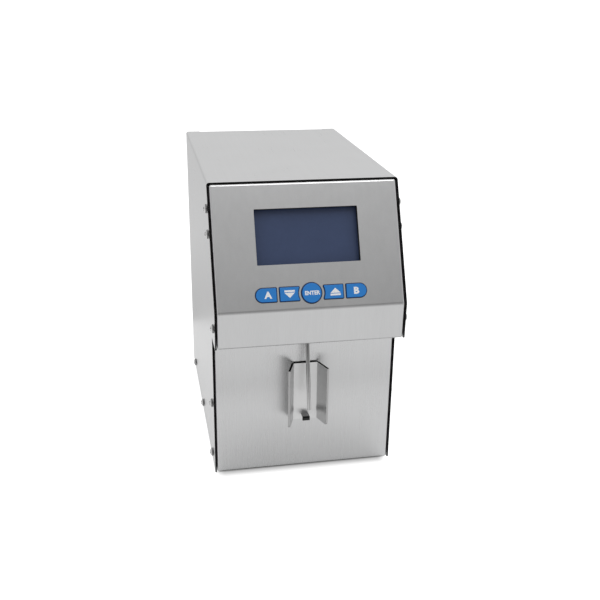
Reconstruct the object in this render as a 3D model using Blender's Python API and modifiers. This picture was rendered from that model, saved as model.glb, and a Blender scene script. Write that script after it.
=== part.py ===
"""Desktop milk analyzer: a bent-sheet housing with a hooded control panel, an intake pipe over a
sample holder, an ultrasonic measuring cell and the peristaltic pump that draws the milk through it.

Metres, +Z up, +Y towards the rear. The origin is under the middle of the whole object, on the
surface that its feet stand on.
"""

import math

import bmesh
import bpy
from mathutils import Matrix, Vector

# Housing
body_width = 0.142
body_depth = 0.2206
body_height = 0.23025
hood_overhang = 0.0244
hood_clearance = 0.1167
band_height = 0.0281
band_lean = 0.0011
top_edge_setback = 0.01535

# Sheet metal
sheet = 0.0012
bend = 0.002
cover_bend = 0.002
flat_angle = math.radians(5)
side_gap = 0.0005
seat = 0.0003
overrun = 0.005
relief_width = 0.0006
relief_margin = 0.0003
bend_segments = 3
edge_segments = 2
smooth_angle = math.radians(35)
near = 1e-6

# Cover and its rear lips
lip_width = 0.011
lip_clearance = 0.002

# Control panel
panel_flange = 0.016
return_reach = 0.012

# Chassis tray
tray_flange = 0.016
front_flange = 0.0115

# Rear panel
rear_margin = 0.001
rear_corner = 0.003
vent_count = 7
vent_length = 0.050
vent_width = 0.003
vent_pitch = 0.0065
vent_top_drop = 0.022

# Screws: an M3 domed head, and its places on a side as distance behind the lower front panel and
# height above the tray's underside
screw_radius = 0.0015
screw_head_radius = 0.0034
screw_head_height = 0.0024
screw_reach = 0.0062
screw_rim_share = 0.25
screw_dome_angles = (0, 35, 65, 90)
screw_steps = 12
hole_clearance = 0.0003
side_screw_places = (
    (0.0130, 0.2120),
    (0.0060, 0.1950),
    (-0.0180, 0.1315),
    (0.0080, 0.0580),
    (0.0150, 0.0100),
    (0.0990, 0.0105),
    (0.1840, 0.0105),
)
panel_screw_count = 3
rear_screw_inset = 0.0055
rear_screw_low = 0.0090
rear_screw_drop = 0.030

# Feet
foot_height = 0.004
foot_radius = 0.0075
foot_taper = 0.0008
foot_neck_radius = 0.0022
foot_barb_radius = 0.0033
foot_barb_height = 0.0024
foot_inset_x = 0.015
foot_front = 0.018
foot_rear = 0.0176
foot_steps = 16

# Display: the window's cut-out on the slanted face, as height above the fold
window_width = 0.0765
window_height = 0.0407
window_low = 0.0332
window_overlap = 0.004
window_thickness = 0.0015
window_recess = 0.0054
window_rim_gap = 0.0002
window_corner = 0.0006
lcd_width = 0.093
lcd_height = 0.070
lcd_board = 0.0016
lcd_can_width = 0.086
lcd_can_height = 0.050
lcd_can_depth = 0.003
lcd_header_width = 0.020
lcd_header_height = 0.005
lcd_header_depth = 0.0025
lcd_header_edge = 0.002

# Keys
key_row = 0.0116
key_height = 0.0106
key_row_half = 0.0411
key_split = 0.0245
key_gap = 0.0018
key_hollow_half = 0.00396
enter_radius = 0.00765
enter_gap = 0.0020
key_rise = 0.0010
key_edge = 0.0003
key_corner = 0.0007
key_hole_gap = 0.0003
key_travel = 0.0005
key_lip = 0.0012
key_lip_thickness = 0.0010
key_stem_radius = 0.0015
key_stem_length = 0.0008
key_arc_points = 8
enter_points = 32
enter_lip_width = 0.007

# Keypad board and its switches
switch_side = 0.006
switch_height = 0.0035
switch_plunger_radius = 0.00175
switch_plunger = 0.0008
keypad_half_width = 0.048
keypad_low = 0.003
keypad_high = 0.0176
keypad_board = 0.0016
keypad_pillar_radius = 0.002
keypad_pillar_inset = 0.0032

# Sample holder: its back, the spread and reach of its wings' tips, all measured outside, and its
# heights above the tray's underside
holder_half_width = 0.0104
holder_spread = 0.0157
holder_reach = 0.0144
holder_low = 0.0430
holder_high = 0.09135
holder_bend = 0.0016
holder_corner = 0.002

# Cup rest
rest_half_width = 0.0023
rest_tip_half_width = 0.0029
rest_reach = 0.0067
rest_thickness = 0.0014
rest_lip = 0.0034
rest_drop = 0.0050

# Intake pipe: where its lower end hangs, and its lean from the upright
pipe_radius = 0.0015
pipe_bore = 0.0009
pipe_end_reach = 0.0192
pipe_end_height = 0.0600
pipe_lean = math.radians(13.1)
pipe_length = 0.076
pipe_steps = 12
bush_collar_radius = 0.0044
bush_flange_radius = 0.0065
bush_flange = 0.0015
bush_height = 0.008
bush_bore_gap = 0.0003
bush_steps = 16

# Inner frame
frame_sheet = 0.0015
frame_setback = 0.070
frame_half_width = 0.058
frame_shoulder = 0.116
frame_head = 0.182
frame_head_half_width = 0.022
frame_foot = 0.020
frame_bend = 0.003

# Measuring cell
cell_width = 0.028
cell_depth = 0.032
cell_height = 0.040
cell_low = 0.138
cell_edge = 0.0015
nipple_radius = 0.0015
nipple_length = 0.009
cell_inlet_height = 0.008
cell_outlet_inset = 0.006
transducer_radius = 0.008
transducer_length = 0.006
transducer_tail_radius = 0.003
transducer_tail = 0.002

# Hoses
hose_gap = 0.0005
intake_hose_radius = 0.0028
pump_tube_radius = 0.003
hose_overlap = 0.008
hose_sides = 2
hose_samples = 2

# Pump
pump_height = 0.066
pump_plate = 0.003
pump_plate_margin = 0.0027
pump_plate_corner = 0.006
race_radius = 0.0223
race_wall = 0.005
race_leg = 0.024
race_height = 0.013
race_arc_points = 16
rotor_gap = 0.0007
rotor_plate = 0.002
rotor_plate_margin = 0.0028
rotor_hub_radius = 0.0032
shaft_radius = 0.003
shaft_reach = 0.012
shaft_gap = 0.0005
roller_count = 3
roller_radius = 0.0055
roller_tube_gap = 0.0005
roller_length = 0.009
roller_pin_radius = 0.0015
roller_pin_gap = 0.0003
roller_steps = 16
gearbox_radius = 0.0185
gearbox_length = 0.022
motor_radius = 0.014
motor_length = 0.030
motor_edge = 0.001
motor_steps = 20

# Pump tube's free runs: sideways place, distance behind the lower front panel, and height above
# the tray's underside, from the cell down to the race and from the race to the rear
tube_from_cell = (
    (-0.0080, 0.0539, 0.1920),
    (-0.0140, 0.0544, 0.1960),
    (-0.0215, 0.0554, 0.1940),
    (-0.0262, 0.0568, 0.1830),
    (-0.0268, 0.0575, 0.1600),
    (-0.0262, 0.0580, 0.1350),
    (-0.0225, 0.0584, 0.1120),
)
tube_to_rear = (
    (0.0198, 0.0585, 0.1040),
    (0.0235, 0.0600, 0.1185),
    (0.0300, 0.0740, 0.1280),
    (0.0332, 0.1050, 0.1275),
    (0.0340, 0.1700, 0.1260),
)
intake_hose_run = (
    (0.0010, 0.1400),
    (0.0058, 0.1452),
    (0.0130, 0.1468),
    (0.0205, 0.1462),
)

# Main board and power supply
board_thickness = 0.0016
board_left = -0.062
board_right = 0.008
board_front = 0.138
board_rear = 0.204
board_rise = 0.0075
board_post_radius = 0.0025
board_post_inset = 0.010
chip_side = 0.018
chip_height = 0.0025
sink_length = 0.030
sink_width = 0.012
sink_height = 0.020
header_length = 0.016
header_width = 0.006
header_height = 0.008
sink_shares = (0.15, 0.30)
side_header_shares = (0.38, -0.05)
supply_width = 0.042
supply_depth = 0.062
supply_height = 0.033
supply_side = 0.039
supply_front = 0.134
supply_edge = 0.001
supply_slot_count = 5
supply_slot_length = 0.026
supply_slot_width = 0.0025
supply_slot_pitch = 0.008
supply_slot_depth = 0.0015

# Display ribbon: its run as distance behind the lower front panel and height above the tray
ribbon_width = 0.014
ribbon_side = -0.039
ribbon_thickness = 0.0009
ribbon_gap = 0.0004
ribbon_run = (
    (0.0060, 0.1560),
    (0.0200, 0.1420),
    (0.0420, 0.1290),
    (0.0700, 0.1230),
    (0.0950, 0.1130),
    (0.1180, 0.0850),
    (0.1310, 0.0520),
    (0.1400, 0.0340),
)

# Mains inlet, switch and sockets on the rear panel: side place and height above the tray
inlet_place = (0.040, 0.054)
inlet_flange = (0.0310, 0.0240)
inlet_body = (0.0270, 0.0200)
inlet_socket = (0.0245, 0.0170)
inlet_chamfer = 0.0045
inlet_flange_thickness = 0.002
inlet_depth = 0.022
inlet_socket_depth = 0.0165
inlet_pin = (0.0020, 0.0040)
inlet_pin_length = 0.0130
inlet_pin_spread = 0.007
inlet_pin_drop = 0.002
inlet_pin_rise = 0.002
rear_flange_edge = 0.0006

switch_place = (0.040, 0.088)
switch_bezel = (0.0150, 0.0210)
switch_body = (0.0126, 0.0190)
switch_well = (0.0092, 0.0140)
switch_bezel_thickness = 0.002
switch_depth = 0.014
switch_well_depth = 0.0088
switch_pivot_depth = 0.0010
rocker_width = 0.0084
rocker_radius = 0.0062
rocker_rise = 0.0026
rocker_valley = 0.0015
rocker_tilt = math.radians(10)
rocker_arc_points = 12
rocker_pin_radius = 0.0009
rocker_pin_reach = 0.0009
rocker_pin_gap = 0.0003

serial_place = (-0.028, 0.022)
serial_flange = (0.0308, 0.0125)
serial_flange_thickness = 0.001
serial_shell = (0.0166, 0.0080)
serial_shell_slope = 0.0010
serial_shell_corner = 0.0014
serial_shell_length = 0.0058
serial_body = (0.0190, 0.0105)
serial_depth = 0.010
jack_post_spread = 0.0125
jack_post_radius = 0.0027
jack_post_length = 0.005
jack_post_sides = 6

dc_place = (0.008, 0.022)
dc_flange_radius = 0.0058
dc_flange_thickness = 0.002
dc_body_radius = 0.0048
dc_depth = 0.013
dc_bore_radius = 0.0031
dc_bore_depth = 0.010
dc_pin_radius = 0.0010
dc_pin_setback = 0.001
dc_steps = 16

outlet_place = (0.034, 0.126)
outlet_reach = 0.012
outlet_radius = 0.0020
outlet_barb = 0.0006
outlet_bore = 0.0012
outlet_flange_radius = 0.006
outlet_flange = 0.0025
outlet_neck_radius = 0.0035
outlet_steps = 14

# Places worked out from the sizes above
relief_depth = bend + relief_margin
half_width = body_width / 2
rear_panel_face = body_depth + seat + sheet
overall_depth = hood_overhang + rear_panel_face + outlet_reach
front_y = hood_overhang - overall_depth / 2
rear_y = front_y + body_depth
base_z = foot_height
hood_z = base_z + hood_clearance
fold_z = hood_z + band_height
top_z = base_z + body_height
fold_y = front_y - hood_overhang
band_foot_y = fold_y + band_lean
top_edge_y = front_y + top_edge_setback
slant_angle = math.atan2(top_z - fold_z, top_edge_y - fold_y)
inner_half = half_width - sheet - side_gap
floor_z = base_z + sheet
frame_front_y = front_y + frame_setback
rear_face_y = front_y + rear_panel_face
pump_tube_orbit = race_radius - seat - pump_tube_radius
roller_orbit = pump_tube_orbit - pump_tube_radius - roller_tube_gap - roller_radius


def new_collection(name):
    made = bpy.data.collections.new(name)
    bpy.context.scene.collection.children.link(made)
    return made


for leftover in list(bpy.data.objects):
    bpy.data.objects.remove(leftover)

parts = new_collection("milk_analyzer")
cutters = new_collection("cutters")


def finish(name, colour, roughness, metallic=0.0):
    """A plain material with the piece's own colour and gloss."""
    made = bpy.data.materials.new(name)
    made.use_nodes = True
    shader = made.node_tree.nodes["Principled BSDF"]
    shader.inputs["Base Color"].default_value = (*colour, 1.0)
    shader.inputs["Roughness"].default_value = roughness
    shader.inputs["Metallic"].default_value = metallic
    return made


brushed_steel = finish("brushed_steel", (0.60, 0.60, 0.60), 0.35, 1.0)
bright_steel = finish("bright_steel", (0.68, 0.68, 0.67), 0.22, 1.0)
zinc_steel = finish("zinc_steel", (0.52, 0.54, 0.55), 0.42, 1.0)
aluminium = finish("aluminium", (0.66, 0.67, 0.68), 0.38, 1.0)
display_glass = finish("display_glass", (0.045, 0.075, 0.15), 0.08)
key_blue = finish("key_blue", (0.02, 0.19, 0.62), 0.32)
black_rubber = finish("black_rubber", (0.02, 0.02, 0.02), 0.75)
black_plastic = finish("black_plastic", (0.025, 0.025, 0.027), 0.45)
white_plastic = finish("white_plastic", (0.78, 0.78, 0.76), 0.45)
clear_hose = finish("clear_hose", (0.75, 0.78, 0.78), 0.30)
circuit_green = finish("circuit_green", (0.02, 0.16, 0.07), 0.50)
ribbon_grey = finish("ribbon_grey", (0.45, 0.46, 0.48), 0.55)


def add_object(name, data, material=None):
    """Puts a mesh or a curve in the scene: among the parts if it has a material, or else as a cutter."""
    made = bpy.data.objects.new(name, data)
    if material:
        data.materials.append(material)
        parts.objects.link(made)
    else:
        made.hide_render = True
        made.display_type = "WIRE"
        cutters.objects.link(made)
    return made


def empty(name, location, rotation=(0, 0, 0)):
    made = bpy.data.objects.new(name, None)
    parts.objects.link(made)
    made.location = location
    made.rotation_euler = rotation
    return made


def placed(obj, parent=None, location=(0, 0, 0), rotation=(0, 0, 0)):
    obj.parent = parent
    obj.location = location
    obj.rotation_euler = rotation
    return obj


def mesh_object(name, bm, material=None, smooth=False):
    data = bpy.data.meshes.new(name)
    bm.to_mesh(data)
    bm.free()
    if smooth:
        data.shade_smooth()
        data.set_sharp_from_angle(angle=smooth_angle)
    return add_object(name, data, material)


def boolean(obj, other, operation):
    step = obj.modifiers.new(f"{operation.lower()}_{other.name}", "BOOLEAN")
    step.operation = operation
    step.solver = "EXACT"
    step.object = other


def cut(obj, *others):
    for other in others:
        boolean(obj, other, "DIFFERENCE")


def join(obj, *others):
    for other in others:
        boolean(obj, other, "UNION")


def edges_where(bm, test):
    """The edges whose ends both pass the test."""
    return [edge for edge in bm.edges if all(test(vert.co) for vert in edge.verts)]


def draw_out(bm, edges, vector):
    """Extrudes edges into faces along a vector."""
    made = bmesh.ops.extrude_edge_only(bm, edges=edges)["geom"]
    moved = [item for item in made if isinstance(item, bmesh.types.BMVert)]
    bmesh.ops.translate(bm, verts=moved, vec=vector)


def remove_faces(bm, test):
    """Takes away the faces whose corners all pass the test, as a relief slot does."""
    gone = [face for face in bm.faces if all(test(vert.co) for vert in face.verts)]
    bmesh.ops.delete(bm, geom=gone, context="FACES")


def drawn_across(points, widths):
    """A side view in (y, z) drawn across in columns, from one side to the other."""
    bm = open_profile([(-sum(widths) / 2, y, z) for y, z in points])
    for width in widths:
        reached = max(vert.co.x for vert in bm.verts)
        front = edges_where(bm, lambda at: at.x > reached - near)
        draw_out(bm, front, (width, 0, 0))
    return bm


def bent_edges(bm):
    """Closes the corners where two flanges meet, and finds the edges that are bends."""
    bmesh.ops.remove_doubles(bm, verts=bm.verts, dist=near)
    bmesh.ops.recalc_face_normals(bm, faces=bm.faces)
    return [
        edge
        for edge in bm.edges
        if len(edge.link_faces) == 2 and edge.calc_face_angle() > flat_angle
    ]


def round_edges(bm, edges, radius, segments=bend_segments):
    bmesh.ops.bevel(
        bm,
        geom=edges,
        offset=radius,
        offset_type="OFFSET",
        segments=segments,
        profile=0.5,
        affect="EDGES",
        clamp_overlap=True,
        material=-1,
    )


def open_profile(points):
    """A bmesh that holds a chain of edges through the points."""
    bm = bmesh.new()
    chain = [bm.verts.new(point) for point in points]
    for first, second in zip(chain, chain[1:]):
        bm.edges.new((first, second))
    return bm


def sheet_piece(name, bm, inside, material, thickness=sheet):
    """Gives an open outer surface its wall, on the side where the point inside lies."""
    bmesh.ops.recalc_face_normals(bm, faces=bm.faces)
    bm.faces.ensure_lookup_table()
    largest = max(bm.faces, key=lambda face: face.calc_area())
    if largest.normal.dot(largest.calc_center_median() - Vector(inside)) < 0:
        bmesh.ops.reverse_faces(bm, faces=bm.faces)
    made = mesh_object(name, bm, material, smooth=True)
    wall = made.modifiers.new("wall", "SOLIDIFY")
    wall.thickness = thickness
    wall.offset = -1
    wall.use_even_offset = True
    return made


def box(name, size, centre, material=None, edge=0.0, parent=None):
    """A block given by its size and its centre."""
    bm = bmesh.new()
    bmesh.ops.create_cube(bm, size=1.0)
    bmesh.ops.scale(bm, vec=size, verts=bm.verts)
    if edge:
        round_edges(bm, list(bm.edges), edge, edge_segments)
    return placed(mesh_object(name, bm, material), parent, centre)


def cylinder(name, radius, length, material=None, steps=screw_steps):
    """A cylinder centred on its origin, along its own Z."""
    bm = bmesh.new()
    bmesh.ops.create_cone(
        bm, cap_ends=True, segments=steps, radius1=radius, radius2=radius, depth=length
    )
    return mesh_object(name, bm, material, smooth=bool(material))


def turned(name, profile, material=None, steps=screw_steps, closed=False):
    """Turns a profile of (radius, height) points about Z. It runs down the outer side."""
    bm = open_profile([(radius, 0, height) for radius, height in profile])
    if closed:
        bm.verts.ensure_lookup_table()
        bm.edges.new((bm.verts[-1], bm.verts[0]))
    made = mesh_object(name, bm, material)
    turn = made.modifiers.new("turn", "SCREW")
    turn.axis = "Z"
    turn.steps = steps
    turn.render_steps = steps
    turn.use_merge_vertices = True
    turn.merge_threshold = near
    turn.use_smooth_shade = True
    return made


def arc(centre, radius, start, end, count):
    """Points along an arc, from one angle to another in degrees."""
    for step in range(count + 1):
        angle = math.radians(start + (end - start) * step / count)
        yield (
            centre[0] + radius * math.cos(angle),
            centre[1] + radius * math.sin(angle),
        )


def rounded_rectangle(width, height, corner, centre=(0, 0), points=4):
    across = width / 2 - corner
    up = height / 2 - corner
    outline = []
    for turn, (side_x, side_y) in enumerate(((1, 1), (-1, 1), (-1, -1), (1, -1))):
        middle = (centre[0] + side_x * across, centre[1] + side_y * up)
        outline += arc(middle, corner, turn * 90, turn * 90 + 90, points)
    return outline


def as_mesh(obj):
    """Replaces a curve object by a mesh object of the same name, with its caps welded."""
    bpy.context.view_layer.update()
    graph = bpy.context.evaluated_depsgraph_get()
    data = bpy.data.meshes.new_from_object(obj.evaluated_get(graph))
    bm = bmesh.new()
    bm.from_mesh(data)
    bmesh.ops.remove_doubles(bm, verts=bm.verts, dist=near)
    bmesh.ops.recalc_face_normals(bm, faces=bm.faces)
    bm.to_mesh(data)
    bm.free()
    name = obj.name
    matrix = obj.matrix_world.copy()
    home = obj.users_collection[0]
    hidden = obj.hide_render
    bpy.data.objects.remove(obj)
    made = bpy.data.objects.new(name, data)
    made.matrix_world = matrix
    made.hide_render = hidden
    made.display_type = "WIRE" if hidden else "TEXTURED"
    home.objects.link(made)
    return made


def plate(name, outline, low, high, material=None, top_edge=0.0):
    """A flat outline filled and raised from one height to another along its own Z."""
    curve = bpy.data.curves.new(name, "CURVE")
    curve.dimensions = "2D"
    curve.fill_mode = "BOTH"
    curve.extrude = (high - low) / 2
    points = list(outline)
    spline = curve.splines.new("POLY")
    spline.points.add(len(points) - 1)
    for point, place in zip(spline.points, points):
        point.co = (place[0], place[1], 0, 1)
    spline.use_cyclic_u = True
    made = as_mesh(add_object(name, curve, material))
    data = made.data
    data.transform(Matrix.Translation((0, 0, (low + high) / 2)))
    if top_edge:
        bm = bmesh.new()
        bm.from_mesh(data)
        bmesh.ops.dissolve_limit(
            bm, angle_limit=math.radians(1), verts=bm.verts, edges=bm.edges
        )
        rim = edges_where(bm, lambda place: place.z > high - near)
        round_edges(bm, rim, top_edge, edge_segments)
        bm.to_mesh(data)
        bm.free()
    return made


def smooth_run(points, samples=hose_samples):
    """Points on a smooth curve through the given ones."""
    places = [Vector(point) for point in points]
    padded = [2 * places[0] - places[1], *places, 2 * places[-1] - places[-2]]
    run = []
    for index in range(1, len(padded) - 2):
        before, start, end, after = padded[index - 1 : index + 3]
        for step in range(samples):
            share = step / samples
            run.append(
                0.5
                * (
                    2 * start
                    + (end - before) * share
                    + (2 * before - 5 * start + 4 * end - after) * share**2
                    + (3 * start - before - 3 * end + after) * share**3
                )
            )
    return [*run, places[-1]]


def tube(name, points, radius, material=None, sides=hose_sides):
    """A round tube along a chain of points, with filled ends, as a mesh."""
    curve = bpy.data.curves.new(name, "CURVE")
    curve.dimensions = "3D"
    curve.bevel_depth = radius
    curve.bevel_resolution = sides
    curve.use_fill_caps = True
    spline = curve.splines.new("POLY")
    spline.points.add(len(points) - 1)
    for point, place in zip(spline.points, points):
        point.co = (*place, 1)
    made = as_mesh(add_object(name, curve, material))
    if material:
        made.data.shade_smooth()
        made.data.set_sharp_from_angle(angle=smooth_angle)
    return made


def hose(name, points, radius, bore, material):
    """A tube with its bore cut right through."""
    made = tube(name, points, radius, material)
    lead_in = (points[0] - points[1]).normalized() * overrun
    lead_out = (points[-1] - points[-2]).normalized() * overrun
    core = [points[0] + lead_in, *points[1:-1], points[-1] + lead_out]
    cut(made, tube(f"{name}_bore", core, bore))
    return made


def housing_point(side, back, height):
    """A place given from the lower front panel and the tray's underside."""
    return Vector((side, front_y + back, base_z + height))


def cross_hole(name, back, height, radius):
    """A cutter that drills both side walls at once."""
    hole = cylinder(name, radius, body_width + overrun)
    return placed(
        hole, None, housing_point(0, back, height), (0, math.radians(90), 0)
    )


side_holes = [
    cross_hole(f"side_hole_{number}", back, height, screw_radius + hole_clearance)
    for number, (back, height) in enumerate(side_screw_places, 1)
]


def rear_hole(name, side, z, radius):
    hole = cylinder(name, radius, lip_width)
    return placed(hole, None, (side, rear_y, z), (math.radians(90), 0, 0))


rear_screw_x = half_width - rear_screw_inset
rear_screw_heights = (base_z + rear_screw_low, top_z - rear_screw_drop)
rear_screw_places = [
    (side, z) for z in rear_screw_heights for side in (-rear_screw_x, rear_screw_x)
]
rear_holes = [
    rear_hole(f"rear_hole_{number}", side, z, screw_radius + hole_clearance)
    for number, (side, z) in enumerate(rear_screw_places, 1)
]


def front_profile():
    """The side view of the front: lower panel, hood underside, band, fold and slanted face."""
    return [
        (front_y, hood_z),
        (band_foot_y, hood_z),
        (fold_y, fold_z),
        (top_edge_y, top_z),
    ]


def front_cutter():
    """Everything ahead of the front profile, right across."""
    ahead = fold_y - overrun
    slope = (top_edge_y - fold_y) / (top_z - fold_z)
    outline = [
        (ahead, base_z - overrun),
        (front_y, base_z - overrun),
        *front_profile(),
        (top_edge_y + overrun * slope, top_z + overrun),
        (ahead, top_z + overrun),
    ]
    reach = half_width + overrun
    made = plate("front_cutter", outline, -reach, reach)
    return placed(made, None, rotation=(math.radians(90), 0, math.radians(90)))


def make_outer_cover():
    """Top and two sides from one sheet, its rear edges turned in as lips for the rear panel."""
    lip_low = base_z + tray_flange + lip_clearance
    lip_high = top_z - lip_width - lip_clearance
    lip_x = half_width - lip_width - lip_clearance
    half = [
        (lip_x, top_z),
        (lip_x + relief_width, top_z),
        (half_width, top_z),
        (half_width, lip_high + relief_width),
        (half_width, lip_high),
        (half_width, lip_low),
        (half_width, lip_low - relief_width),
        (half_width, base_z),
    ]
    section = [(-x, z) for x, z in reversed(half)] + half
    bm = open_profile([(x, fold_y, z) for x, z in section])
    slots_y = rear_y - relief_depth
    draw_out(bm, list(bm.edges), (0, slots_y - fold_y, 0))
    draw_out(bm, edges_where(bm, lambda at: at.y > slots_y - near), (0, relief_depth, 0))
    slots = (
        lambda at: lip_x - near < abs(at.x) < lip_x + relief_width + near,
        lambda at: lip_high - near < at.z < lip_high + relief_width + near,
        lambda at: lip_low - relief_width - near < at.z < lip_low + near,
    )
    for slot in slots:
        remove_faces(bm, lambda at: at.y > slots_y - near and slot(at))

    def on_lip(at):
        beside = abs(at.x) > half_width - near and lip_low - near < at.z < lip_high + near
        above = at.z > top_z - near and abs(at.x) < lip_x + near
        return at.y > rear_y - near and (beside or above)

    folds = edges_where(bm, on_lip)
    for edge in folds:
        middle = (edge.verts[0].co + edge.verts[1].co) / 2
        inward = (0, 0, -lip_width)
        if abs(middle.x) > half_width - near:
            inward = (-math.copysign(lip_width, middle.x), 0, 0)
        draw_out(bm, [edge], inward)
    corners = edges_where(
        bm, lambda at: at.z > top_z - near and abs(at.x) > half_width - near
    )
    round_edges(bm, folds, bend)
    round_edges(bm, [edge for edge in corners if edge.is_valid], cover_bend)
    made = sheet_piece(
        "outer_cover", bm, housing_point(0, body_depth / 2, 0), brushed_steel
    )
    cut(made, front_cutter(), *side_holes, *rear_holes)


def panel_frame_point(x, up, out):
    """A place on the slanted face: across, up from the fold, and out from its surface."""
    return panel_frame.matrix_world @ Vector((x, up, out))


panel_frame = empty("panel_frame", (0, fold_y, fold_z), (slant_angle, 0, 0))
bpy.context.view_layer.update()


def key_side_outline(grow):
    """An outer key: square beside its neighbour, and round at the end of the row."""
    half = key_height / 2 + grow
    inner = key_split + key_gap / 2 - grow
    end = key_row_half + grow
    corner = key_corner + grow
    outline = list(arc((end - half, 0), half, -90, 90, 2 * key_arc_points))
    outline += arc((inner + corner, half - corner), corner, 90, 180, 3)
    outline += arc((inner + corner, corner - half), corner, 180, 270, 3)
    return outline


def key_inner_outline(grow):
    """A key beside the round one, hollowed to follow it."""
    half = key_height / 2 + grow
    outer = key_split - key_gap / 2 + grow
    hollow = enter_radius + enter_gap
    inner = math.sqrt(hollow**2 - key_hollow_half**2) - grow
    hollow -= grow
    corner = key_corner + grow
    reach = math.degrees(math.acos(inner / hollow))
    outline = list(arc((outer - corner, corner - half), corner, -90, 0, 3))
    outline += arc((outer - corner, half - corner), corner, 0, 90, 3)
    outline += arc((inner + corner, half - corner), corner, 90, 180, 3)
    outline += arc((0, 0), hollow, reach, -reach, key_arc_points)
    outline += arc((inner + corner, corner - half), corner, 180, 270, 3)
    return outline


def enter_outline(grow):
    outline = list(arc((0, 0), enter_radius + grow, 0, 360, enter_points))
    return outline[:-1]


def mirrored(outline):
    return [(-x, y) for x, y in reversed(outline)]


def key_outlines(grow=0.0):
    """The five key outlines by name, each about the middle of the row."""
    side = key_side_outline(grow)
    inner = key_inner_outline(grow)
    return {
        "key_a": mirrored(side),
        "key_down": mirrored(inner),
        "key_enter": enter_outline(grow),
        "key_up": inner,
        "key_b": side,
    }


def middle_x(outline):
    across = [x for x, _ in outline]
    return (min(across) + max(across)) / 2


def pipe_point(along):
    """A place on the intake pipe's axis, measured up from its lower end."""
    start = housing_point(0, -pipe_end_reach, pipe_end_height)
    return start + along * Vector((0, math.sin(pipe_lean), math.cos(pipe_lean)))


def pipe_point_at(z):
    start = pipe_point(0)
    return pipe_point((z - start.z) / math.cos(pipe_lean))


def make_control_panel():
    """Slanted face, band and underside from one sheet, its edges turned back all round."""
    lip_z = top_z - sheet - seat
    slope = (top_edge_y - fold_y) / (top_z - fold_z)
    head_y = fold_y + (lip_z - fold_z) * slope
    tongue_y = band_foot_y + panel_flange
    section = [
        (head_y + panel_flange, lip_z),
        (head_y, lip_z),
        (fold_y, fold_z),
        (band_foot_y, hood_z),
        (tongue_y, hood_z),
        (front_y + return_reach, hood_z),
    ]
    middle_width = 2 * (inner_half - relief_depth)
    bm = drawn_across(section, (relief_depth, middle_width, relief_depth))

    def on_face(at):
        return at.y < band_foot_y + near or at.y < head_y + near and at.z > hood_z + near

    def beside_tongue(at):
        return at.y > tongue_y - near and at.z < hood_z + near

    column = inner_half - relief_depth - near
    for side in (-1, 1):
        remove_faces(bm, lambda at: side * at.x > column and beside_tongue(at))
        front = edges_where(bm, lambda at: side * at.x > inner_half - near and on_face(at))
        draw_out(bm, front, (0, panel_flange, 0))
    round_edges(bm, bent_edges(bm), bend)
    made = sheet_piece(
        "control_panel", bm, (0, front_y + body_depth, fold_z), brushed_steel
    )
    window = plate(
        "window_cutter",
        rounded_rectangle(window_width, window_height, window_corner, points=2),
        -overrun,
        overrun,
    )
    placed(window, panel_frame, (0, window_low + window_height / 2, 0))
    cut(made, window)
    for name, outline in key_outlines(key_hole_gap).items():
        hole = plate(f"{name}_hole", outline, -overrun, overrun)
        placed(hole, panel_frame, (0, key_row, 0))
        cut(made, hole)
    bush_hole = cylinder(
        "bush_hole", bush_collar_radius + hole_clearance, overrun, steps=bush_steps
    )
    placed(bush_hole, None, pipe_point_at(hood_z))
    cut(made, bush_hole, *side_holes[:panel_screw_count])


def make_chassis_tray():
    """Lower front panel, floor and rear flange from one sheet, with flanges along both sides."""
    section = [
        (front_y, hood_z - seat),
        (front_y, base_z + tray_flange),
        (front_y, base_z),
        (front_y + front_flange, base_z),
        (rear_y, base_z),
        (rear_y, base_z + tray_flange),
    ]
    bm = drawn_across(section, (2 * inner_half,))

    def on_front(at):
        return at.y < front_y + near

    def on_floor(at):
        return at.z < base_z + near and at.y > front_y + front_flange - near

    for side in (-1, 1):
        upright = edges_where(bm, lambda at: side * at.x > inner_half - near and on_front(at))
        level = edges_where(bm, lambda at: side * at.x > inner_half - near and on_floor(at))
        draw_out(bm, upright, (0, front_flange, 0))
        draw_out(bm, level, (0, 0, tray_flange))
    round_edges(bm, bent_edges(bm), bend)
    made = sheet_piece(
        "chassis_tray",
        bm,
        (0, front_y + body_depth / 2, top_z),
        brushed_steel,
    )
    cut(made, *side_holes[panel_screw_count:], *rear_holes[:2])
    for number, (x, y) in enumerate(foot_places(), 1):
        hole = cylinder(
            f"foot_hole_{number}", foot_neck_radius + hole_clearance, overrun
        )
        placed(hole, None, (x, y, base_z))
        cut(made, hole)


def foot_places():
    x = half_width - foot_inset_x
    return [
        (side * x, y)
        for y in (front_y + foot_front, rear_y - foot_rear)
        for side in (-1, 1)
    ]


def make_feet():
    """Push-in rubber feet: a tapered pad, a neck through the floor, and a barb above it."""
    pad_top = foot_height - seat
    barb_low = floor_z + seat
    profile = [
        (0, barb_low + foot_barb_height),
        (foot_neck_radius, barb_low + foot_barb_height),
        (foot_barb_radius, barb_low),
        (foot_neck_radius, barb_low),
        (foot_neck_radius, pad_top),
        (foot_radius, pad_top),
        (foot_radius - foot_taper, 0),
        (0, 0),
    ]
    names = ("front_left", "front_right", "rear_left", "rear_right")
    for name, (x, y) in zip(names, foot_places()):
        foot = turned(f"foot_{name}", profile, black_rubber, foot_steps)
        placed(foot, None, (x, y, 0))


def screw_profile():
    """A domed head on a plain shank, its head's underside at height zero."""
    shoulder = screw_head_height * screw_rim_share
    dome = [
        (
            screw_head_radius * math.sin(math.radians(angle)),
            shoulder
            + (screw_head_height - shoulder) * math.cos(math.radians(angle)),
        )
        for angle in screw_dome_angles
    ]
    return [
        *dome,
        (screw_head_radius, 0),
        (screw_radius, 0),
        (screw_radius, -screw_reach),
        (0, -screw_reach),
    ]


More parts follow.
